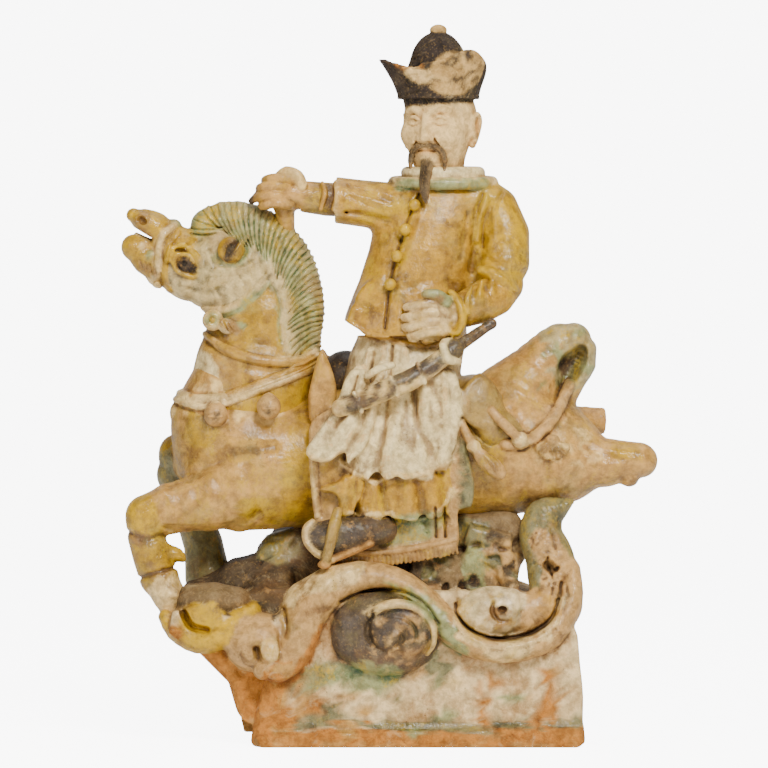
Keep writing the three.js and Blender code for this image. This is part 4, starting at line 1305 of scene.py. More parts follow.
tail_of_skirt = [
    (-20, 244), (-28, 234), (-35, 215), (-44, 202), (-53, 190), (-52, 186), (-45, 182), (-37, 183),
    (-31, 187), (-26, 180), (-12, 204), (-10, 232)
]
rider.add(slab(tail_of_skirt, -55, -40, soft=3, bow=lambda x, z: -0.12 * (230 - z)), "rose", 3)
under_tail = [
    (-22, 174), (-34, 168), (-45, 163.5), (-36, 161.5), (-31, 156), (-30, 148), (-22, 148), (-16, 168)
]
rider.add(slab(under_tail, -54, -42, soft=2.5), "gold", 2)

# %% [markdown]
# The folds of the skirts are pressed in from the show side, following the drop of the cloth: broad
# ridges for the pleats, then a narrow furrow along the lee of each one.

# %% Folds
shown, hidden = Relief(rider), Relief(rider)
PLEATS = [
    ([[-14, 252], [-18, 232], [-24, 212], [-36, 194], [-46, 186]], 6, 2.6),
    ([[-4, 254], [-7, 232], [-12, 206], [-20, 176]], 6, 2.4),
    ([[10, 252], [8, 226], [3, 200], [-2, 172]], 7, 2.2),
    ([[22, 242], [22, 214], [20, 192], [18, 174]], 7.5, 2.4),
    ([[33, 246], [36, 222], [36, 198], [33, 178]], 5.5, 2.0),
]


def widening(path, width, start, growth):
    """The path with a width that starts at a share of the full width and grows down the cloth."""
    return [[x, z, width * (start + growth * k / (len(path) - 1))] for k, (x, z) in enumerate(path)]


for path, width, height in PLEATS:
    shown.line(widening(path, width, 0.5, 0.5), width, height)
FURROWS = [
    ([[-10, 250], [-13, 230], [-18, 206], [-29, 184]], 4.6, -2.8),
    ([[-20, 236], [-26, 218], [-34, 204]], 3.6, -1.8),
    ([[2, 254], [0, 228], [-4, 200], [-10, 172]], 4.6, -2.6),
    ([[15, 228], [18, 208], [25, 190], [30, 176]], 6.0, -2.6),
    ([[27, 232], [33, 214], [37, 198], [38, 182]], 6.0, -1.6),
]
for path, width, depth in FURROWS:
    shown.line(widening(path, width, 0.55, 0.45), width, depth)
shown.line([[x, z + 1.6] for x, z in HEM], 1.5, 0.8, "cream", "strap")
ROBE_FOLDS = ((-21, -22, 4, -1.6), (-6, -1.4, 5.4, -2.4), (17, 22, 6, -2.2), (34, 36, 5, -2.2))
for top, foot, width, depth in ROBE_FOLDS:
    shown.line([[top, 174, width * 0.7], [(top + foot) / 2, 160, width], [foot, 144, width]], width, depth)
    shown.line([[top - 7, 172, width], [foot - 8, 146, width * 1.7]], width, 1.6)
shown.line([[-25, 149], [-19, 146], [-12, 148], [-3, 148], [1, 149], [5, 144.5], [15, 144], [25, 146],
    [35, 153], [40, 163]], 1.5, 0.9, "cream", "strap")
# The saddlecloth: border ridges, the green ground, slits at the back corner.
shown.line([[-50, 184], [-48.5, 166], [-46.5, 146]], 1.6, 1.1, "cream", "strap")
shown.line([[-45.5, 182], [-44.5, 166], [-43, 146]], 1.4, -0.8)
shown.patch([(-44, 180), (-34, 182), (-30, 170), (-34, 160), (-42, 150)], 0, "orange")
shown.patch([(-8, 145), (-8, 128), (24, 131), (33, 140), (33, 150)], -1.0, "green")
shown.line([[-40, 123], [-15, 122.5], [7, 124.5], [28, 128.5], [42, 132]], 1.9, 1.4, "buff", "strap")
for x in (29.3, 35.0):
    shown.line([[x, 152], [x + 0.5, 133]], 1.3, -2.4, "brown")
shown.patch([(44, 200), (49, 190), (54, 168), (54, 150), (46, 146), (44, 170)], 0, "moss")
# Saddle: the roll round the cantle and the leather skirt.
shown.line([[54, 196], [61, 190], [71, 187.5], [82, 189], [93, 193]], 2.0, 1.3, "cream", "strap")
for k in range(7):
    x = -36 + 12 * k
    hidden.line([[x * 0.6 + 6, 246], [x * 0.9 + 4, 210], [x + 2, 176]], 6, 2.0)
    hidden.line([[x * 0.6 + 10, 240], [x * 0.9 + 9, 208], [x + 8, 176]], 3, -1.8)
rider.handle(0.35, 13)
rider.press(shown, -1, -26, fade=6)
rider.press(hidden, 1, 26, fade=6)

# %% [markdown]
# The fringe is a row of short cords, all alike, so Geometry Nodes sets them out along the lower edge.

# %% The fringe
cord = roll([[0, -0.3, 0, 0.18], [0, 0.6, 0, 0.24], [0, 1.3, 0, 0.2]])
CORD = pattern_of(cord, (-0.5, -0.8, -0.5), (0.5, 1.8, 0.5), 0.06)
fringe_line = [
    [-37, -43.5, 121, 4.8], [-15, -43.5, 120.5, 4.8], [7, -43.5, 122, 4.8], [28, -43.5, 125.5, 4.8],
    [42, -43, 128.5, 4.8]
]
CORDS = 30
lute(rider, row(fringe_line, CORD, CORDS, 0.12), "brown", 0.8)
print("fringe of", CORDS, "cords")

# %% [markdown]
# The near boot stands in its stirrup with the sole curled up round the toe. The far side has the same
# boot without the stirrup.

# %% Boots and stirrup
for side in (-1, 1):
    y = side * 53
    rider.add(roll([[-4, side * 46, 138, 9, 8], [-20, y, 136, 10.5, 9], [-37, y, 133.5, 11.5, 9.5],
        [-45, y, 134, 9.5, 8.5]]), "boot", 1)
    sole = [
        [-12, y - side, 130, 2.6, 8], [-24, y - side, 124.5, 2.6, 8.5], [-36, y - side, 119.8, 2.8, 8.5]
    ]
    rider.add(roll(sole), "bare clay", 1)
toe = [
    [-37, -54, 119.5, 2.7, 8], [-46, -54, 123.5, 2.7, 8], [-52.5, -53, 131, 2.6, 7],
    [-53, -52, 139, 2.4, 6], [-49, -52, 143.5, 1.8, 4]
]
rider.add(roll(toe), "cream", 1)
rider.cut(roll([[-12, -63, 133, 0.9, 3], [-26, -64, 127.5, 1, 3], [-38, -64, 123.5, 1, 3],
    [-48, -62, 129, 0.8, 3]]), "soot", 0.8)
rider.add(roll([[-33, -57, 150, 3.2, 4], [-35.5, -62, 140, 3.6, 3], [-38, -63.5, 128, 3.4, 3],
    [-41, -61, 118.5, 3.0, 4]]), "saddle", 1)
rider.add(lump([-41.5, -61, 116.5], [4.2, 5, 2.6]), "bare clay", 1)
for k in range(3):
    x, z = -26 + 9 * k, 142 - k
    rider.cut(roll([[x, -64, z + 3, 0.8, 3], [x + 3, -64, z - 3, 0.8, 3]]), None, 1)
# Two tassels hang from the saddle behind the rider.
rider.add(roll([[46, -45, 206, 2.4, 3], [50, -46, 197, 3, 3.4], [54, -47, 190, 3, 3.4],
    [60, -47, 183, 5, 5], [66, -47, 177.5, 6, 5.4], [70, -46, 174, 4.4, 4.6]]), "buff", 1)
rider.add(roll([[65, -44, 214, 2.6, 3], [72, -46, 206, 3.2, 3.4], [80, -44, 198, 3, 3.4]]), "buff", 1)
rider.add(lump([83, -42, 195], [5.2, 5, 5.2]), "cream", 0.8)
rider.add(lump([53.5, -47, 191], [4.6, 4.4, 4.2]), "cream", 0.8)
for k in range(3):
    rider.cut(roll([[57 + 3 * k, -53, 182 + 2.4 * k, 0.8, 2], [64 + 3 * k, -53.4, 171 + 3 * k, 1.0, 2]]),
        "brown", 0.6)
print("skirts, cloth and boots done")

# %% [markdown]
# The coat is a slab wrapped round the chest and closed with four buttons. The sleeves are short and
# wide, so the cuffs are thin walls of clay with a tighter sleeve coming out of each.

# %% Coat and sleeves
COAT = [
    [34, -4, 364, 16, 13],
    [33, -4, 358, 27, 17],
    [31, -5, 350, 37, 20],
    [28, -6, 336, 37, 23],
    [22, -8, 316, 35, 25],
    [16, -9, 294, 36, 27],
    [11, -9, 274, 38, 30],
    [9, -9, 261, 39, 32],
]
rider.add(skirt(COAT, 5, 0.8, 2.0), "gold", 2.5)
coat_tip = [(-4, 300), (-18, 292), (-27, 272), (-24, 266), (-12, 262), (4, 266)]
rider.add(slab(coat_tip, -32, -6, soft=4), "gold", 5)
rider.cut(slab([(-50, 261), (-50, 276), (-28, 271.5), (-19, 266), (-14, 261)], -60, 50, soft=0.6,
    curved=False), None, 1)
rider.cut(slab([(-40, 252), (-29, 268), (-17, 262.5), (-3, 258), (12, 255), (26, 254), (40, 258), (60, 262),
    (60, 240), (-40, 240)], -70, -41, soft=1, curved=False), None, 1)
# Far sleeve reaching forward to the mane.
RIGHT_SLEEVE = [
    [12, -8, 342, 17, 16], [-2, -9, 344, 15.5, 15.5], [-19, -10, 346, 15, 15], [-34, -10, 348, 14.8, 14.5]
]
rider.add(roll(RIGHT_SLEEVE), "gold", 6)
rider.cut(roll([[-31, -10, 348, 12, 12], [-40, -10, 349, 13.5, 13.5]]), "brown", 1)
rider.cut(slab([(-60, 325), (-35.5, 325), (-34, 372), (-60, 372)], -40, 30, soft=0.5, curved=False),
    "cream", 0.8)
rider.add(roll([[-22, -10, 347.5, 10.5], [-40, -10, 348.5, 10.8], [-53, -10, 350, 10.2]]), "brown", 0.6)
rider.cut(roll([[-52.5, -10, 350, 8.8], [-58, -10, 350.5, 9.2]]), "brown", 0.6)
for at in (-36, -44):
    rider.add(roll([[at, -21.5, 342, 1.4], [at + 2.5, -21.8, 352, 1.6], [at + 1, -17, 359, 1.2]]), "orange",
        2)
# Near sleeve, akimbo, with its cuff turned towards the viewer.
LEFT_SLEEVE = [
    [58, -4, 350, 14, 15], [68, -6, 342, 15, 16], [74, -8, 326, 16, 17], [74, -11, 308, 16, 17.5],
    [70, -15, 298, 14.5, 17]
]
rider.add(roll([[58, 0, 344, 14], [58, 0, 322, 13], [57, -3, 304, 13], [54, -8, 288, 12]]), "gold", 6)
rider.add(roll(LEFT_SLEEVE), "amber", 5)
rider.add(roll([[58, -28, 303, 3, 4], [67, -32, 300, 3.4, 4], [76, -29, 293, 4, 5], [81, -20, 286, 4.4, 6],
    [83, -12, 284, 4, 6]]), "yellow", 4)
rider.cut(roll([[70, -22, 286, 13, 12], [76, -16, 278, 15, 14]]), "brown", 2)
rider.add(roll([[73, -16, 294, 13, 12], [67, -24, 287, 13.5, 12], [57, -31, 281.5, 13, 11.5],
    [48, -35, 278, 11.5, 11]]), "gold", 0.8)
CUFF_FOLDS = (
    ((52, -42.5, 292), (50, -46, 276)),
    ((59, -38, 296), (58.5, -42, 278)),
    ((66, -33, 299), (67, -36, 281)),
)
for a, b in CUFF_FOLDS:
    middle = [(a[0] + b[0]) / 2 - 1.5, (a[1] + b[1]) / 2 - 2.4, (a[2] + b[2]) / 2]
    rider.add(roll([[*a, 1.3], [*middle, 1.9], [*b, 1.3]]), "amber", 2.5)
CUFF = [
    [39, -41, 289, 2.6, 4], [44, -44, 282, 3, 5], [46.5, -45, 272, 3, 5], [43, -43, 263, 2.6, 5],
    [38.5, -42, 264, 2, 4]
]
rider.add(roll(CUFF), "yellow", 1)
rider.add(lump([41.5, -39, 276], [5.5, 8, 12]), "cream", 1)

# %% [markdown]
# The near hand is cream and the fist on the mane is tan. Each finger is a small roll, laid side by side
# with the next and bent at the knuckle.

# %% Hands
rider.add(slab([(19, 283), (33, 288), (40, 280), (38, 263), (28, 258), (19, 259)], -48, -36, soft=5),
    "cream", 2)
FINGERS = (
    ((11, 279.5), (24, 281.5)),
    ((9.6, 273), (24, 275.5)),
    ((10.2, 266.8), (24, 269.5)),
    ((13.5, 261), (26, 263.5)),
)
for tip, knuckle in FINGERS:
    finger = [
        [knuckle[0] + 5, -46.5, knuckle[1] + 0.5, 3.4, 3.2], [knuckle[0] - 2, -47.5, knuckle[1], 3.3, 3.2],
        [tip[0] + 4, -45.5, tip[1] + 0.3, 3.2, 3.1], [tip[0], -42.5, tip[1], 2.7, 2.8]
    ]
    rider.add(roll(finger), "cream", 0.7)
rider.add(roll([[36, -46, 283, 4.2, 4], [30, -48.5, 287.5, 3.8, 3.6], [23, -49, 288, 3, 3]]), "green", 1)
rider.cut(roll([[22, -52.5, 284.8, 0.8, 2], [32, -53, 284, 0.9, 2]]), "brown", 0.6)
# The fist on the mane: back of the hand, four bent fingers, thumb.
rider.add(roll([[-54, -10, 350.5, 8.5, 10], [-62, -10, 352, 9.5, 11.5], [-70, -11, 353, 9, 11]]), "tan", 1)
for x, z in ((-74, 361.5), (-77.5, 356.5), (-78.5, 350.8), (-76, 345.5)):
    bent = [
        [x + 12, -19, z - 0.5, 3.2], [x + 5, -22, z + 0.4, 3.3], [x - 2, -20, z, 3.3],
        [x - 5.5, -13, z - 1, 3.1], [x - 3, -6, z - 1, 3]
    ]
    rider.add(roll(bent), "tan", 0.5)
rider.add(roll([[-56, -18, 357, 3.8], [-59, -20, 363.5, 3.8], [-66, -20, 366.5, 3.2],
    [-71, -18, 364, 2.4]]), "blush", 0.8)
rider.add(roll([[-84, -12, 351, 3, 5], [-88.5, -10, 347.5, 2.2, 4]]), "soot", 1.5)
rider.add(roll([[-68, -8, 346, 7, 9], [-67, -4, 337, 6, 9], [-66, 0, 328, 5, 8]]), "tan", 4)

# %% Collar, buttons and scabbard
for z, wide, deep, size, glaze in ((359.5, 31.5, 22, 4.0, "cream"), (365.5, 23, 18, 4.2, "rose")):
    ring = []
    for k in range(17):
        angle = 2 * math.pi * k / 16
        dip = -1.2 * math.sin(angle) * (1 if z < 362 else 0.4)
        ring.append([34.5 + wide * math.cos(angle), -4 - deep * math.sin(angle), z + dip, size, size])
    rider.add(roll(ring), glaze, 1.5)
rider.add(lump([34.5, -4, 361], [28, 20, 5]), "rose", 1)
rider.paint(roll([[6, -22, 358, 4, 4], [24, -27, 356, 4, 4], [44, -27, 356.5, 4, 4], [60, -20, 358, 4, 4]]),
    "green", 1)
shown, hidden = Relief(rider), Relief(rider)
for stroke in (
    ([[19, 352, 1.2], [13, 338, 1.5], [7, 320, 1.7], [2, 302, 1.9], [-1, 284, 2], [-3, 266, 1.8]], 1.6,
        -2.2, "brown"),
    ([[23, 350, 3], [15, 322, 3.6], [8, 300, 4], [4, 270, 4]], 4, 0.8),
    ([[60, 352, 2], [55, 338, 4], [53, 322, 5], [52, 304, 5]], 5, -1.9),
    ([[66, 348, 2], [61, 334, 4], [60, 318, 3]], 4, -1.6),
    ([[50, 340, 2], [48, 326, 4], [45, 310, 3]], 4, -1.2),
    ([[62, 350, 3], [58, 336, 3.4], [56, 322, 3]], 3.4, 1.3, "yellow"),
    ([[72, 352, 2], [66, 342, 4], [64, 328, 3]], 4, -1.3),
    ([[64, 310, 3], [74, 304, 5], [86, 302, 4]], 5, -1.3),
    ([[-26, 357, 2], [-14, 353, 4], [0, 347, 4]], 4, -1.2),
    ([[-28, 340, 2], [-14, 338, 4], [0, 333, 5], [8, 322, 4]], 5, -1.9),
    ([[-26, 350, 2], [-14, 345, 3.4], [-4, 341, 3]], 3.4, -0.9),
    ([[-26, 284, 3], [-14, 280, 6], [-2, 284, 5]], 6, -0.9),
    ([[14, 292, 5], [26, 297, 7], [40, 294, 6]], 7, -1.3),
    ([[-28, 270], [-17, 264], [-3, 259.5], [12, 256.5], [28, 256], [40, 259]], 2.0, 1.1, "orange", "strap"),
):
    shown.line(*stroke)
shown.patch([(-22, 338), (-4, 344), (14, 350), (6, 340), (-6, 334), (-16, 332)], 0, "yellow")
shown.patch([(66, 352), (80, 340), (88, 320), (82, 316), (70, 334), (60, 346)], 0, "yellow")
shown.patch([(8, 352), (20, 356), (18, 340), (10, 336)], 0, "amber")
hidden.line([[34, 350], [32, 310], [28, 266]], 4, -1.4)
hidden.line([[6, 340], [4, 310], [0, 274]], 6, -1.2)
rider.press(shown, -1, -9, fade=5)
rider.press(hidden, 1, 6, fade=6)
for x, y, z in ((16, -28.5, 344.7), (10, -32.5, 329), (4.6, -35, 312), (0.3, -37, 294)):
    rider.add(lump([x, y, z], [3.9, 3.9, 3.9]), "yellow", 0.6)
# Sheathed sword: scabbard, two bands, guard and grip, with the wrist cord round it.
SCABBARD = [
    [-31, -60, 216, 5.8], [-16, -61, 221, 6], [-2, -61, 227.5, 6.6], [12, -59, 233, 6.8],
    [24, -55, 240.5, 6.2], [37, -50, 250, 5.6]
]
rider.add(roll(SCABBARD), "cream", 0.8)
rider.add(roll([[36, -50, 249.5, 6.6], [41, -48, 253, 6.4]]), "boot", 0.8)
rider.add(roll([[42, -48, 253.5, 4.2], [48, -46, 257.5, 3.8], [56, -43, 263, 3.6], [62, -41, 267, 3.2],
    [65, -40, 269, 3.6]]), "boot", 0.8)
for x, y, z in ((-20, -60.5, 219.5), (3, -59.7, 229.2), (20, -56.5, 238)):
    rider.add(roll([[x - 2.4, y - 3.4, z + 6, 1.4, 2.6], [x, y - 4.6, z, 1.6, 2.6],
        [x + 2.4, y - 3.4, z - 6, 1.4, 2.6]]), "rose", 0.8)


def on_scabbard():
    """A random place along the scabbard."""
    x = rng.uniform(-26, 36)
    return x, 218 + 0.5 * (x + 26) + rng.uniform(-6, 6)


speckle(rider, 44, on_scabbard, -62, 9, (2, 6.5), (1, 3), (0, 50), "black")
for k in range(3):
    rider.cut(roll([[46 + 5 * k, -51.5 + k, 261 + 3.4 * k, 0.6, 2],
        [49 + 5 * k, -50 + k, 254 + 3.6 * k, 0.6, 2]]), "soot", 0.4)
rider.add(roll([[38, -46, 258, 2.4], [34, -54, 256, 2.6], [37, -57, 247, 2.6], [44, -53, 245, 2.4]]),
    "rose", 1)
rider.add(roll([[-14, -58, 236, 2.2], [-6, -60, 241, 2.8], [2, -58, 243, 2.2]]), "rose", 1.5)
print("coat, hands and sword done")

# %% [markdown]
# ## The rider's head
#
# The head is left unglazed. It is an egg of clay, wider at the temples than at the jaw, and the features
# are set out on it by the usual rule of thirds: brows, base of the nose and chin divide the face evenly,
# with the eyes halfway down the skull and one eye's width apart. It looks ahead over the horse's neck.

# %% Head
face = Clay((-14, -46, 338), (72, 40, 464), 0.46)
HEAD_MIDDLE = np.array([32.0, -4.0, 393.0])
GAZE = math.radians(24)  # turned from straight at the viewer towards the horse's head


def on_head(side, out, up):
    """A place given from the middle of the head: to the rider's left, forward along the gaze, up."""
    x = side * math.cos(GAZE) - out * math.sin(GAZE)
    y = -out * math.cos(GAZE) - side * math.sin(GAZE)
    return [HEAD_MIDDLE[0] + x, HEAD_MIDDLE[1] + y, HEAD_MIDDLE[2] + up]


def head_roll(points, blend, glaze="face", carve=False):
    """A roll through (side, out, up, radius) points on the head."""
    form = roll([[*on_head(*p[:3]), p[3]] for p in points])
    (face.cut if carve else face.add)(form, glaze, blend)


def head_lump(place, radii, blend, glaze="face", tilt=0.0, carve=False):
    """A lump on the head, its radii given as (side, out, up)."""
    form = lump(on_head(*place), radii, tilt=tilt, yaw=-math.degrees(GAZE))
    (face.cut if carve else face.add)(form, glaze, blend)


EYE_LINE, NOSE_LINE, MOUTH_LINE, CHIN_LINE = 6.0, -7.0, -13.5, -25.0
head_lump((0, -2, 8), (23.5, 24, 24), 1)
head_lump((0, 3, -6), (20, 19.5, 21), 8)
head_lump((0, 9, -20), (12, 9, 7.5), 8)
face.add(roll([[*on_head(0, -2, -18), 15], [*on_head(0, -3, -40), 16]]), "face", 5)
for s in (-1, 1):
    head_lump((s * 12.5, 14, -3.5), (7.5, 6.5, 7), 6)
    # Eye: socket, ball, lids and brow.
    head_lump((s * 9.8, 23.6, EYE_LINE), (6.4, 4.2, 4.2), 5, carve=True, glaze=None)
    head_lump((s * 9.6, 16.4, EYE_LINE - 0.2), (5.4, 4.4, 3.2), 1.5)
    lid = [
        (s * 4.6, 20.6, EYE_LINE - 0.6, 0.9), (s * 8, 21.4, EYE_LINE + 2.1, 1.0),
        (s * 11.8, 20.2, EYE_LINE + 1.8, 1.0), (s * 14.8, 17.2, EYE_LINE - 0.4, 0.8)
    ]
    head_roll(lid, 1)
    low_lid = [
        (s * 5.0, 20.2, EYE_LINE - 1.2, 0.7), (s * 9, 20.8, EYE_LINE - 2.5, 0.8),
        (s * 13.6, 17.9, EYE_LINE - 1.4, 0.7)
    ]
    head_roll(low_lid, 1)
    head_roll([(s * 5.2, 21.4, EYE_LINE - 0.5, 0.45), (s * 9.4, 21.9, EYE_LINE - 0.1, 0.5),
        (s * 13.6, 19.2, EYE_LINE - 0.6, 0.4)], 0.5, None, True)
    head_roll([(s * 4.2, 20.2, EYE_LINE + 4.8, 1.6), (s * 9, 20.6, EYE_LINE + 7.2, 1.7),
        (s * 14.6, 17.2, EYE_LINE + 6.0, 1.2)], 3)
    # Nostril and wing of the nose, and the fold beside the mouth.
    head_lump((s * 3.7, 22.2, NOSE_LINE + 1.2), (2.4, 2.8, 2.2), 1.6)
    head_lump((s * 2.0, 24.4, NOSE_LINE - 0.9), (1.1, 1.3, 0.8), 0.6, "bare clay", carve=True)
    head_roll([(s * 5.6, 21.2, NOSE_LINE + 1.0, 0.8), (s * 9.0, 18.8, NOSE_LINE - 5.0, 0.9),
        (s * 9.4, 17.6, MOUTH_LINE - 3, 0.6)], 1.5, None, True)
    # Ear: rim, bowl and a long lobe.
    head_lump((s * 22.6, -3, 2), (3.2, 5.2, 8.8), 2, tilt=s * 4)
    head_roll([(s * 23.0, 0.6, 7, 1.3), (s * 25.4, -3.4, 10.2, 1.4), (s * 25.6, -7.6, 5, 1.3),
        (s * 23.8, -5.6, -5, 1.5), (s * 22.6, -1.6, -9.5, 2.4)], 1)
    head_lump((s * 26.6, -3, 2.5), (2.6, 2.4, 5.0), 1, "bare clay", carve=True)
    head_lump((s * 24.6, -1.4, -9), (1.4, 1.3, 1.3), 0.5, "bare clay", carve=True)
# Nose.
head_roll([(0, 20.6, EYE_LINE + 2, 2.0), (0, 22.2, EYE_LINE - 3.5, 2.1), (0, 23.8, NOSE_LINE + 3.2, 2.7),
    (0, 24.2, NOSE_LINE + 1.4, 3.0)], 2.5)
# Lips: a parted line between two soft rolls.
head_roll([(-6.2, 18.4, MOUTH_LINE + 0.4, 0.8), (-2.6, 20.6, MOUTH_LINE + 1.7, 1.5),
    (0, 20.9, MOUTH_LINE + 1.2, 1.5), (2.6, 20.6, MOUTH_LINE + 1.7, 1.5),
    (6.2, 18.4, MOUTH_LINE + 0.4, 0.8)], 1.5)
head_roll([(-5, 18.6, MOUTH_LINE - 1.2, 0.9), (0, 20.4, MOUTH_LINE - 2.3, 1.9),
    (5, 18.6, MOUTH_LINE - 1.2, 0.9)], 1.5)
head_roll([(-6.4, 19.6, MOUTH_LINE, 0.6), (0, 22.4, MOUTH_LINE - 0.3, 0.65), (6.4, 19.6, MOUTH_LINE, 0.6)],
    0.6, "bare clay", True)

# %% [markdown]
# A thin moustache falls past the corners of the mouth, and a long goatee lies against the collar. Both
# are rolls laid on the finished face and combed with the edge of a blade. The hat has a high crown with
# a knob and a brim turned up all round, knocked off at the front to fresh clay.

# %% Hair and hat
for s in (-1, 1):
    whisker = [
        (s * 1.6, 23, NOSE_LINE - 3.2, 1.4), (s * 6, 22, NOSE_LINE - 4.2, 1.9),
        (s * 10.4, 19.6, MOUTH_LINE - 1, 2.1), (s * 12, 18.6, MOUTH_LINE - 7, 1.8),
        (s * 11.6, 18.4, MOUTH_LINE - 12.5, 0.8)
    ]
    head_roll(whisker, 1, "rock")
    for shift in (-0.9, 0.9):
        comb = [(p[0] + shift * s * 0.9, p[1] + p[3] * 0.95, p[2] + shift * 0.6, 0.42) for p in whisker]
        head_roll(comb, 0.4, "soot", True)
beard = [
    (0, 17.5, CHIN_LINE + 4, 4.4), (0.4, 21.5, CHIN_LINE - 2, 4.2), (1.4, 26.5, CHIN_LINE - 9, 3.6),
    (3, 29.6, CHIN_LINE - 15.5, 2.8), (4.2, 30.4, CHIN_LINE - 21.5, 1.1)
]
head_roll(beard, 2, "rock")
for shift in (-2.1, -0.7, 0.7, 2.1):
    comb = [(p[0] + shift * min(1.0, p[3] / 4), p[1] + p[3] * 0.93, p[2], 0.5) for p in beard]
    head_roll(comb, 0.4, "soot", True)
head_roll([(0, 19.6, MOUTH_LINE - 4, 1.4), (0, 20.4, MOUTH_LINE - 8, 2.0), (0, 20.2, CHIN_LINE, 2.2)], 1,
    "rock")
HAT_AXIS = (31.5, -3.0)
face.add(roll([[*HAT_AXIS, 414.5, 22.6, 22.4], [*HAT_AXIS, 422, 22.6, 22.4]]), "hat", 1)
face.add(lump([*HAT_AXIS, 432], [18.8, 18.8, 24.5]), "hat", 3)
face.add(lump([*HAT_AXIS, 457.2], [5.6, 5.6, 3.8]), "hat brim", 1)
BRIM_ROOT, BRIM_LIP = (23.0, 415.5), (36.5, 438.5)


def brim_wall(x, y, z):
    """A turned-up wall of clay, its lip rising and falling round the hat."""
    px, py = x - HAT_AXIS[0], y - HAT_AXIS[1]
    around = np.arctan2(py, px)
    lip = BRIM_LIP[1] - 4.5 + 9.5 * np.exp(-(((around + 0.85) / 0.6) ** 2))
    lip = lip + 4 * np.exp(-(((np.abs(around) - np.pi) / 0.5) ** 2))
    right = np.maximum(np.cos(around + 0.2), 0)
    reach = BRIM_LIP[0] - 2.2 + 1.6 * np.cos(2 * around + 0.2) - 3.5 * right**2
    up = np.clip((z - BRIM_ROOT[1]) / (lip - BRIM_ROOT[1]), 0, 1)
    wall = BRIM_ROOT[0] + (reach - BRIM_ROOT[0]) * (0.62 * up + 0.38 * up**2)
    wall = wall - 4 * right * up**4
    thick = 2.4 - 0.9 * up
    across = (np.hypot(px, py) - wall) * 0.86
    rise = np.maximum(z - lip, BRIM_ROOT[1] - 2 - z)
    deep = np.abs(across) - thick
    return np.sqrt(np.maximum(deep, 0) ** 2 + np.maximum(rise, 0) ** 2) + np.minimum(np.maximum(deep, rise),
        0) - 0.5


brim_box = (np.array([-8, -43, 412]), np.array([72, 36, 446]))
face.add([(*brim_box, brim_wall)], "hat", 1.2)
face.cut(lump([10, -33, 436.5], [11, 9, 4.5], tilt=-4), "chip", 0.8)
face.cut(lump([-1, -16, 444], [5, 7, 4.5], tilt=-20), "chip", 0.8)
face.paint(lump([47, -30, 432], [24, 22, 16], tilt=22), "hat brim", 0)
speckle(face, 26, over(38, 64, 418, 446), -26, 20, (2, 5), (0.3, 1.0), (30, 60), "hat")
face.paint(lump([16, -34, 427], [13, 9, 5.5], tilt=-8), "face", 0)
scratches = Relief(face)
for _ in range(60):
    x, z = rng.uniform(-4, 68), rng.uniform(414, 442)
    angle, size, width = rng.normal(0.5, 0.4), rng.uniform(1, 4.5), rng.uniform(0.5, 1.2)
    scratches.scratch(x, z, angle, size, width, rng.uniform(-0.5, -0.1),
        "soot" if rng.uniform() < 0.5 else None)
for _ in range(26):
    x, z = rng.uniform(10, 56), rng.uniform(362, 414)
    angle, size = rng.uniform(0, 3.1), rng.uniform(0.8, 3.5)
    scratches.scratch(x, z, angle, size, rng.uniform(0.5, 1.0), rng.uniform(-0.25, 0.1))
face.handle(0.16, 8)
face.press(scratches, -1, -2, fade=4)
print("head and hat done")

# %% [markdown]
# ## The glaze
#
# One shader covers the whole figure, as one firing did. It reads the colours left on the mesh, then does
# what the kiln and the weather did: glaze thins to the pink clay on proud edges, runs together in the
# hollows, crackles, and is pitted and stained. It also paints shade into the hollows and creases. Where
# nothing was glazed, the clay is matt and gritty.

# %% The glaze shader
def ink(red, green, blue):
    """A screen colour for the shader."""
    return tuple(linear((red, green, blue)))


def new_material(name):
    """A material and the board of its nodes."""
    material = bpy.data.materials.new(name)
    material.use_nodes = True
    return material, Board(material.node_tree)


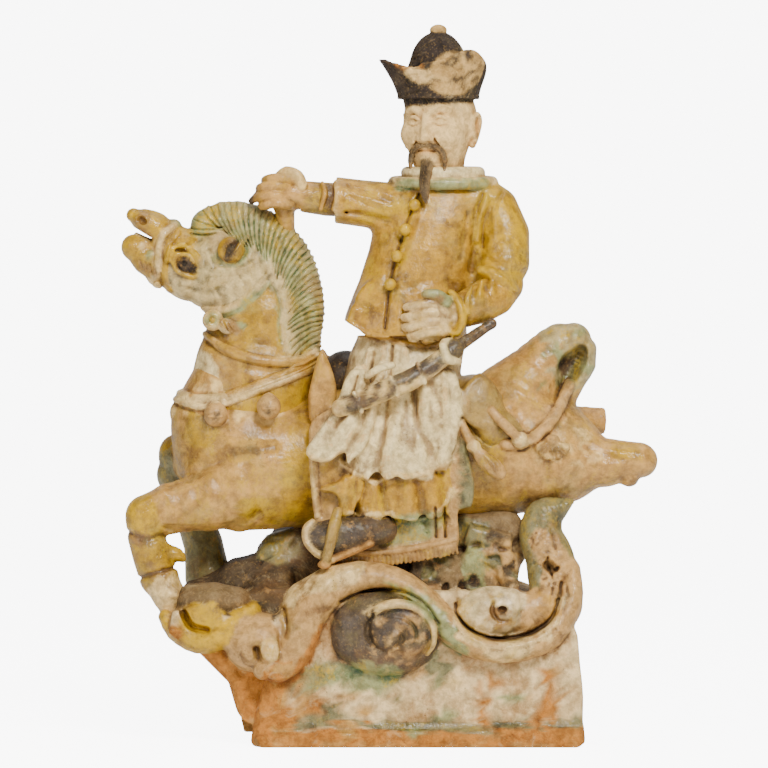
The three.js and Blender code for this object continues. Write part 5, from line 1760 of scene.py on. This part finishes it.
def glaze_material():
    """Lead glaze over stoneware, led by what was kept on the mesh."""
    material, b = new_material("lead glaze over stoneware")
    where = b.put("ShaderNodeTexCoord").outputs["Object"]
    thin, pooled_and_shade = b.kept("thin_glaze", "Color"), b.kept("pooled_glaze", "Color")
    bare, proud, wide = b.kept("bareness"), b.kept("proud"), b.kept("open")
    cloud = b.noise(where, 34, 3)
    patch = b.noise(where, 95, 5, 0.62, 0.4)
    grain = b.noise(where, 420, 4, 0.6)
    grit = b.noise(where, 1300, 3, 0.7)
    # Thin glaze, and pooled glaze, whose darker colour is also painted shade in the hollows.
    hollow = b.sum("MULTIPLY", proud, -0.85)
    hollow = b.sum("ADD", hollow, b.sum("MULTIPLY", wide, -0.24))
    pool_and_shade = b.sum("ADD", hollow, b.ramp(cloud, 0.3, 0.72, -0.3, 0.5))
    pool_and_shade = b.sum("ADD", pool_and_shade, b.ramp(patch, 0.34, 0.68, -0.28, 0.42))
    pool_and_shade = b.ramp(pool_and_shade, 0.05, 0.85)
    colour = b.blend(pool_and_shade, thin, pooled_and_shade)
    # Uneven melting: olive drifts, and paler and darker mottling.
    drift = b.ramp(b.noise(where, 44, 6, 0.68, 0.4), 0.47, 0.68, 0.0, 0.42)
    colour = b.blend(b.sum("MULTIPLY", drift, b.ramp(bare, 0.5, 0.1, 0.2, 1.0)), colour, ink(146, 136, 78))
    uneven = b.ramp(b.noise(where, 150, 6, 0.7, 0.3), 0.32, 0.68, 0.0, 1.0)
    colour = b.blend(1.0, colour, b.blend(uneven, (0.52, 0.48, 0.42), (1.04, 1.04, 1.04)), "MULTIPLY")
    # Runs of yellow down the glaze.
    falling = b.put("ShaderNodeVectorMath", {0: where, 1: (1.0, 1.0, 0.5)}, operation="MULTIPLY").outputs[0]
    runs = b.ramp(b.noise(falling, 60, 5, 0.65, 0.6), 0.48, 0.66, 0.0, 0.8)
    runs = b.sum("MULTIPLY", runs, b.ramp(grain, 0.42, 0.58, 0.25, 1.0))
    runs = b.sum("MULTIPLY", runs, b.ramp(bare, 0.35, 0.1, 0.0, 1.0))
    colour = b.blend(runs, colour, ink(196, 158, 4))
    # Speckle where the glaze is broken over the coarse clay.
    speckle = b.ramp(b.noise(where, 700, 3, 0.6), 0.52, 0.72)
    colour = b.blend(b.sum("MULTIPLY", speckle, 0.14), colour, ink(226, 180, 100))
    # Bare clay on proud edges and in worn patches.
    wear = b.sum("ADD", b.sum("MULTIPLY", proud, 1.1), b.ramp(patch, 0.42, 0.7, -0.45, 0.5))
    wear = b.sum("ADD", wear, b.ramp(grain, 0.3, 0.7, -0.25, 0.25))
    wear = b.sum("MULTIPLY", b.ramp(wear, 0.32, 0.85, 0, 0.72), b.ramp(bare, 0.0, 0.4, 0.3, 1.0))
    clay = b.blend(b.ramp(cloud, 0.35, 0.65), ink(214, 164, 92), ink(168, 120, 64))
    glazed = b.sum("SUBTRACT", 1.0, bare, True)
    colour = b.blend(b.sum("MULTIPLY", wear, glazed), colour, clay)
    # Brown stain and painted shade in the creases, darkest in the deepest of them, and a chalky bloom on
    # the bare clay.
    crease = b.ramp(hollow, 0.32, 1.15, 0, 0.82)
    crease = b.sum("MULTIPLY", crease, b.ramp(patch, 0.25, 0.6, 0.55, 1.0))
    grime = b.ramp(b.noise(where, 26, 5, 0.65, 0.5), 0.5, 0.7, 0, 0.3)
    colour = b.blend(grime, colour, ink(146, 100, 48))
    stain_and_shade = b.blend(b.ramp(crease, 0.2, 0.7), ink(118, 78, 36), ink(56, 40, 26))
    colour = b.blend(crease, colour, stain_and_shade)
    bloom = b.ramp(b.noise(where, 60, 6, 0.7, 0.8), 0.56, 0.7, 0, 0.32)
    colour = b.blend(b.sum("MULTIPLY", bloom, b.ramp(bare, 0.1, 0.7, 0.0, 1.0)), colour, ink(214, 190, 140))
    # Pits left by bubbles.
    cells = b.put("ShaderNodeTexVoronoi", {"Vector": where, "Scale": 250.0, "Randomness": 1.0})
    pits = b.ramp(cells.outputs["Distance"], 0.07, 0.13, 1.0, 0.0)
    pits = b.sum("MULTIPLY", pits, b.ramp(cloud, 0.5, 0.62))
    colour = b.blend(b.sum("MULTIPLY", pits, 0.6), colour, ink(52, 38, 26))
    # Surface: crackle in the glaze, grit in the clay.
    crackle = b.put("ShaderNodeTexVoronoi", {"Vector": where, "Scale": 330.0}, feature="DISTANCE_TO_EDGE")
    crackle = b.ramp(crackle.outputs["Distance"], 0.0, 0.05)
    relief = b.sum("MULTIPLY", patch, 0.9)
    relief = b.sum("ADD", relief, b.sum("MULTIPLY", grain, 0.3))
    relief = b.sum("ADD", relief, b.sum("MULTIPLY", b.sum("MULTIPLY", grit, 0.32),
        b.ramp(bare, 0.0, 1.0, 0.25, 1.0)))
    relief = b.sum("ADD", relief, b.sum("MULTIPLY", b.sum("MULTIPLY", crackle, 0.045), glazed))
    relief = b.sum("SUBTRACT", relief, b.sum("MULTIPLY", pits, 0.35))
    bump = b.put("ShaderNodeBump", {"Strength": 0.8, "Distance": 0.0014, "Height": relief})
    ripple = b.put("ShaderNodeBump", {"Strength": 0.6, "Distance": 0.0014, "Height": relief})
    matt = b.sum("MAXIMUM", b.sum("MULTIPLY", wear, 0.9), bare)
    matt = b.sum("ADD", matt, b.sum("MULTIPLY", crease, 0.5), True)
    rough = b.ramp(matt, 0.0, 1.0, 0.46, 0.9)
    rough = b.sum("ADD", rough, b.ramp(patch, 0.3, 0.7, -0.07, 0.12))
    shine = b.ramp(matt, 0.1, 0.7, 0.36, 0.0)
    surface = b.put(
        "ShaderNodeBsdfPrincipled",
        {
            "Base Color": colour,
            "Roughness": rough,
            "Normal": bump.outputs[0],
            "Coat Weight": shine,
            "Coat Roughness": 0.1,
            "Coat Normal": ripple.outputs[0],
            "Coat IOR": 1.6,
            "IOR": 1.5,
            "Specular IOR Level": 0.25,
        },
    )
    b.put("ShaderNodeOutputMaterial", {0: surface.outputs[0]})
    return material


GLAZE = glaze_material()
print("shader of", len(GLAZE.node_tree.nodes), "nodes")

# %% [markdown]
# ## Casting the figure
#
# The figure is cast in five overlapping pieces, so that the face and hands can have a finer skin than
# the ridge tile. They share one material and one place in the frame, so no joint shows between them.

# %% Casting the pieces
# name: (clay, most triangles, how far the edges of the glazes wander in millimetres)
PIECES = {
    "tile_and_clouds": (clouds, 180000, 2.2),
    "horse_body": (horse, 180000, 2.0),
    "horse_head": (head, 190000, 1.1),
    "rider": (rider, 195000, 1.3),
    "rider_head": (face, 175000, 0.4),
}
for name, (clay, most, ragged) in PIECES.items():
    piece = cast(clay, name, most, ragged)
    piece.data.materials.append(GLAZE)
    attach(piece, "root")
    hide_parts("ridge_figure")

# %% [markdown]
# ## Studio
#
# The figure stands on a pale floor that runs up into the background, under one large soft light from
# the upper right, a weaker one from the left, a small one from above, and an even white surround.

# %% Floor, lights and camera
def studio_floor():
    """A pale sheet that lies flat under the figure and curves up behind it."""
    deep, wide, height, bend = 3.0, 3.5, 3.0, 1.0
    profile = [(-4.0, 0.0)]
    for k in range(13):
        angle = math.pi / 2 * k / 12
        profile.append((deep - bend + bend * math.sin(angle), bend - bend * math.cos(angle)))
    profile.append((deep, height))
    points = [(x, y, z) for y, z in profile for x in (-wide, wide)]
    faces = [(2 * k, 2 * k + 1, 2 * k + 3, 2 * k + 2) for k in range(len(profile) - 1)]
    mesh = bpy.data.meshes.new("studio floor")
    mesh.from_pydata(points, [], faces)
    mesh.shade_smooth()
    floor = bpy.data.objects.new("studio_floor", mesh)
    bpy.context.scene.collection.objects.link(floor)
    material, paper = new_material("paper")
    fibre = paper.noise(paper.put("ShaderNodeTexCoord").outputs["Object"], 40, 4)
    tone = paper.blend(fibre, (0.80, 0.80, 0.80), (0.86, 0.86, 0.86))
    # The paper glows for the eye only, so it stays pale without lighting the clay from below.
    seen = paper.put("ShaderNodeLightPath").outputs["Is Camera Ray"]
    glow = paper.sum("ADD", paper.sum("MULTIPLY", seen, 7.5), 0.3)
    sheet = paper.put(
        "ShaderNodeBsdfPrincipled",
        {"Base Color": tone, "Roughness": 0.9, "Emission Color": (1, 1, 1, 1), "Emission Strength": glow},
    )
    paper.put("ShaderNodeOutputMaterial", {0: sheet.outputs[0]})
    mesh.materials.append(material)
    return floor


def soft_light(name, place, aim, size, power, colour=(1, 1, 1)):
    """A round lamp at a place, turned to its aim. Power is in watts."""
    lamp = bpy.data.lights.new(name, "AREA")
    lamp.shape, lamp.size, lamp.energy, lamp.color = "DISK", size, power, colour
    item = bpy.data.objects.new(name, lamp)
    item.location = place
    way = np.array(aim) - np.array(place)
    item.rotation_euler = (
        math.atan2(math.hypot(way[0], way[1]), -way[2]),
        0,
        math.atan2(way[1], way[0]) - math.pi / 2,
    )
    bpy.context.scene.collection.objects.link(item)


studio_floor()
soft_light("key", (0.6, -2.0, 1.8), (0, 0, 0.25), 0.8, 94, (1.0, 0.96, 0.9))
soft_light("fill", (-1.8, -1.6, 1.0), (0, 0, 0.2), 1.0, 16, (1.0, 0.98, 0.96))
soft_light("top", (0.2, 0.2, 1.9), (0, 0, 0.2), 1.2, 12)
world = bpy.data.worlds.new("surround")
world.use_nodes = True
world.node_tree.nodes["Background"].inputs[0].default_value = (1, 1, 1, 1)
world.node_tree.nodes["Background"].inputs[1].default_value = 0.15
bpy.context.scene.world = world

LENS, DISTANCE, RISE = 250.0, 3.44, math.radians(1.5)
AIM = (-0.0035, 0.0, 0.2295)
lens = bpy.data.cameras.new("camera")
lens.lens, lens.sensor_width = LENS, 36.0
camera = bpy.data.objects.new("camera", lens)
camera.location = (AIM[0], AIM[1] - DISTANCE * math.cos(RISE), AIM[2] + DISTANCE * math.sin(RISE))
camera.rotation_euler = (math.pi / 2 - RISE, 0, 0)
bpy.context.scene.collection.objects.link(camera)
bpy.context.scene.camera = camera
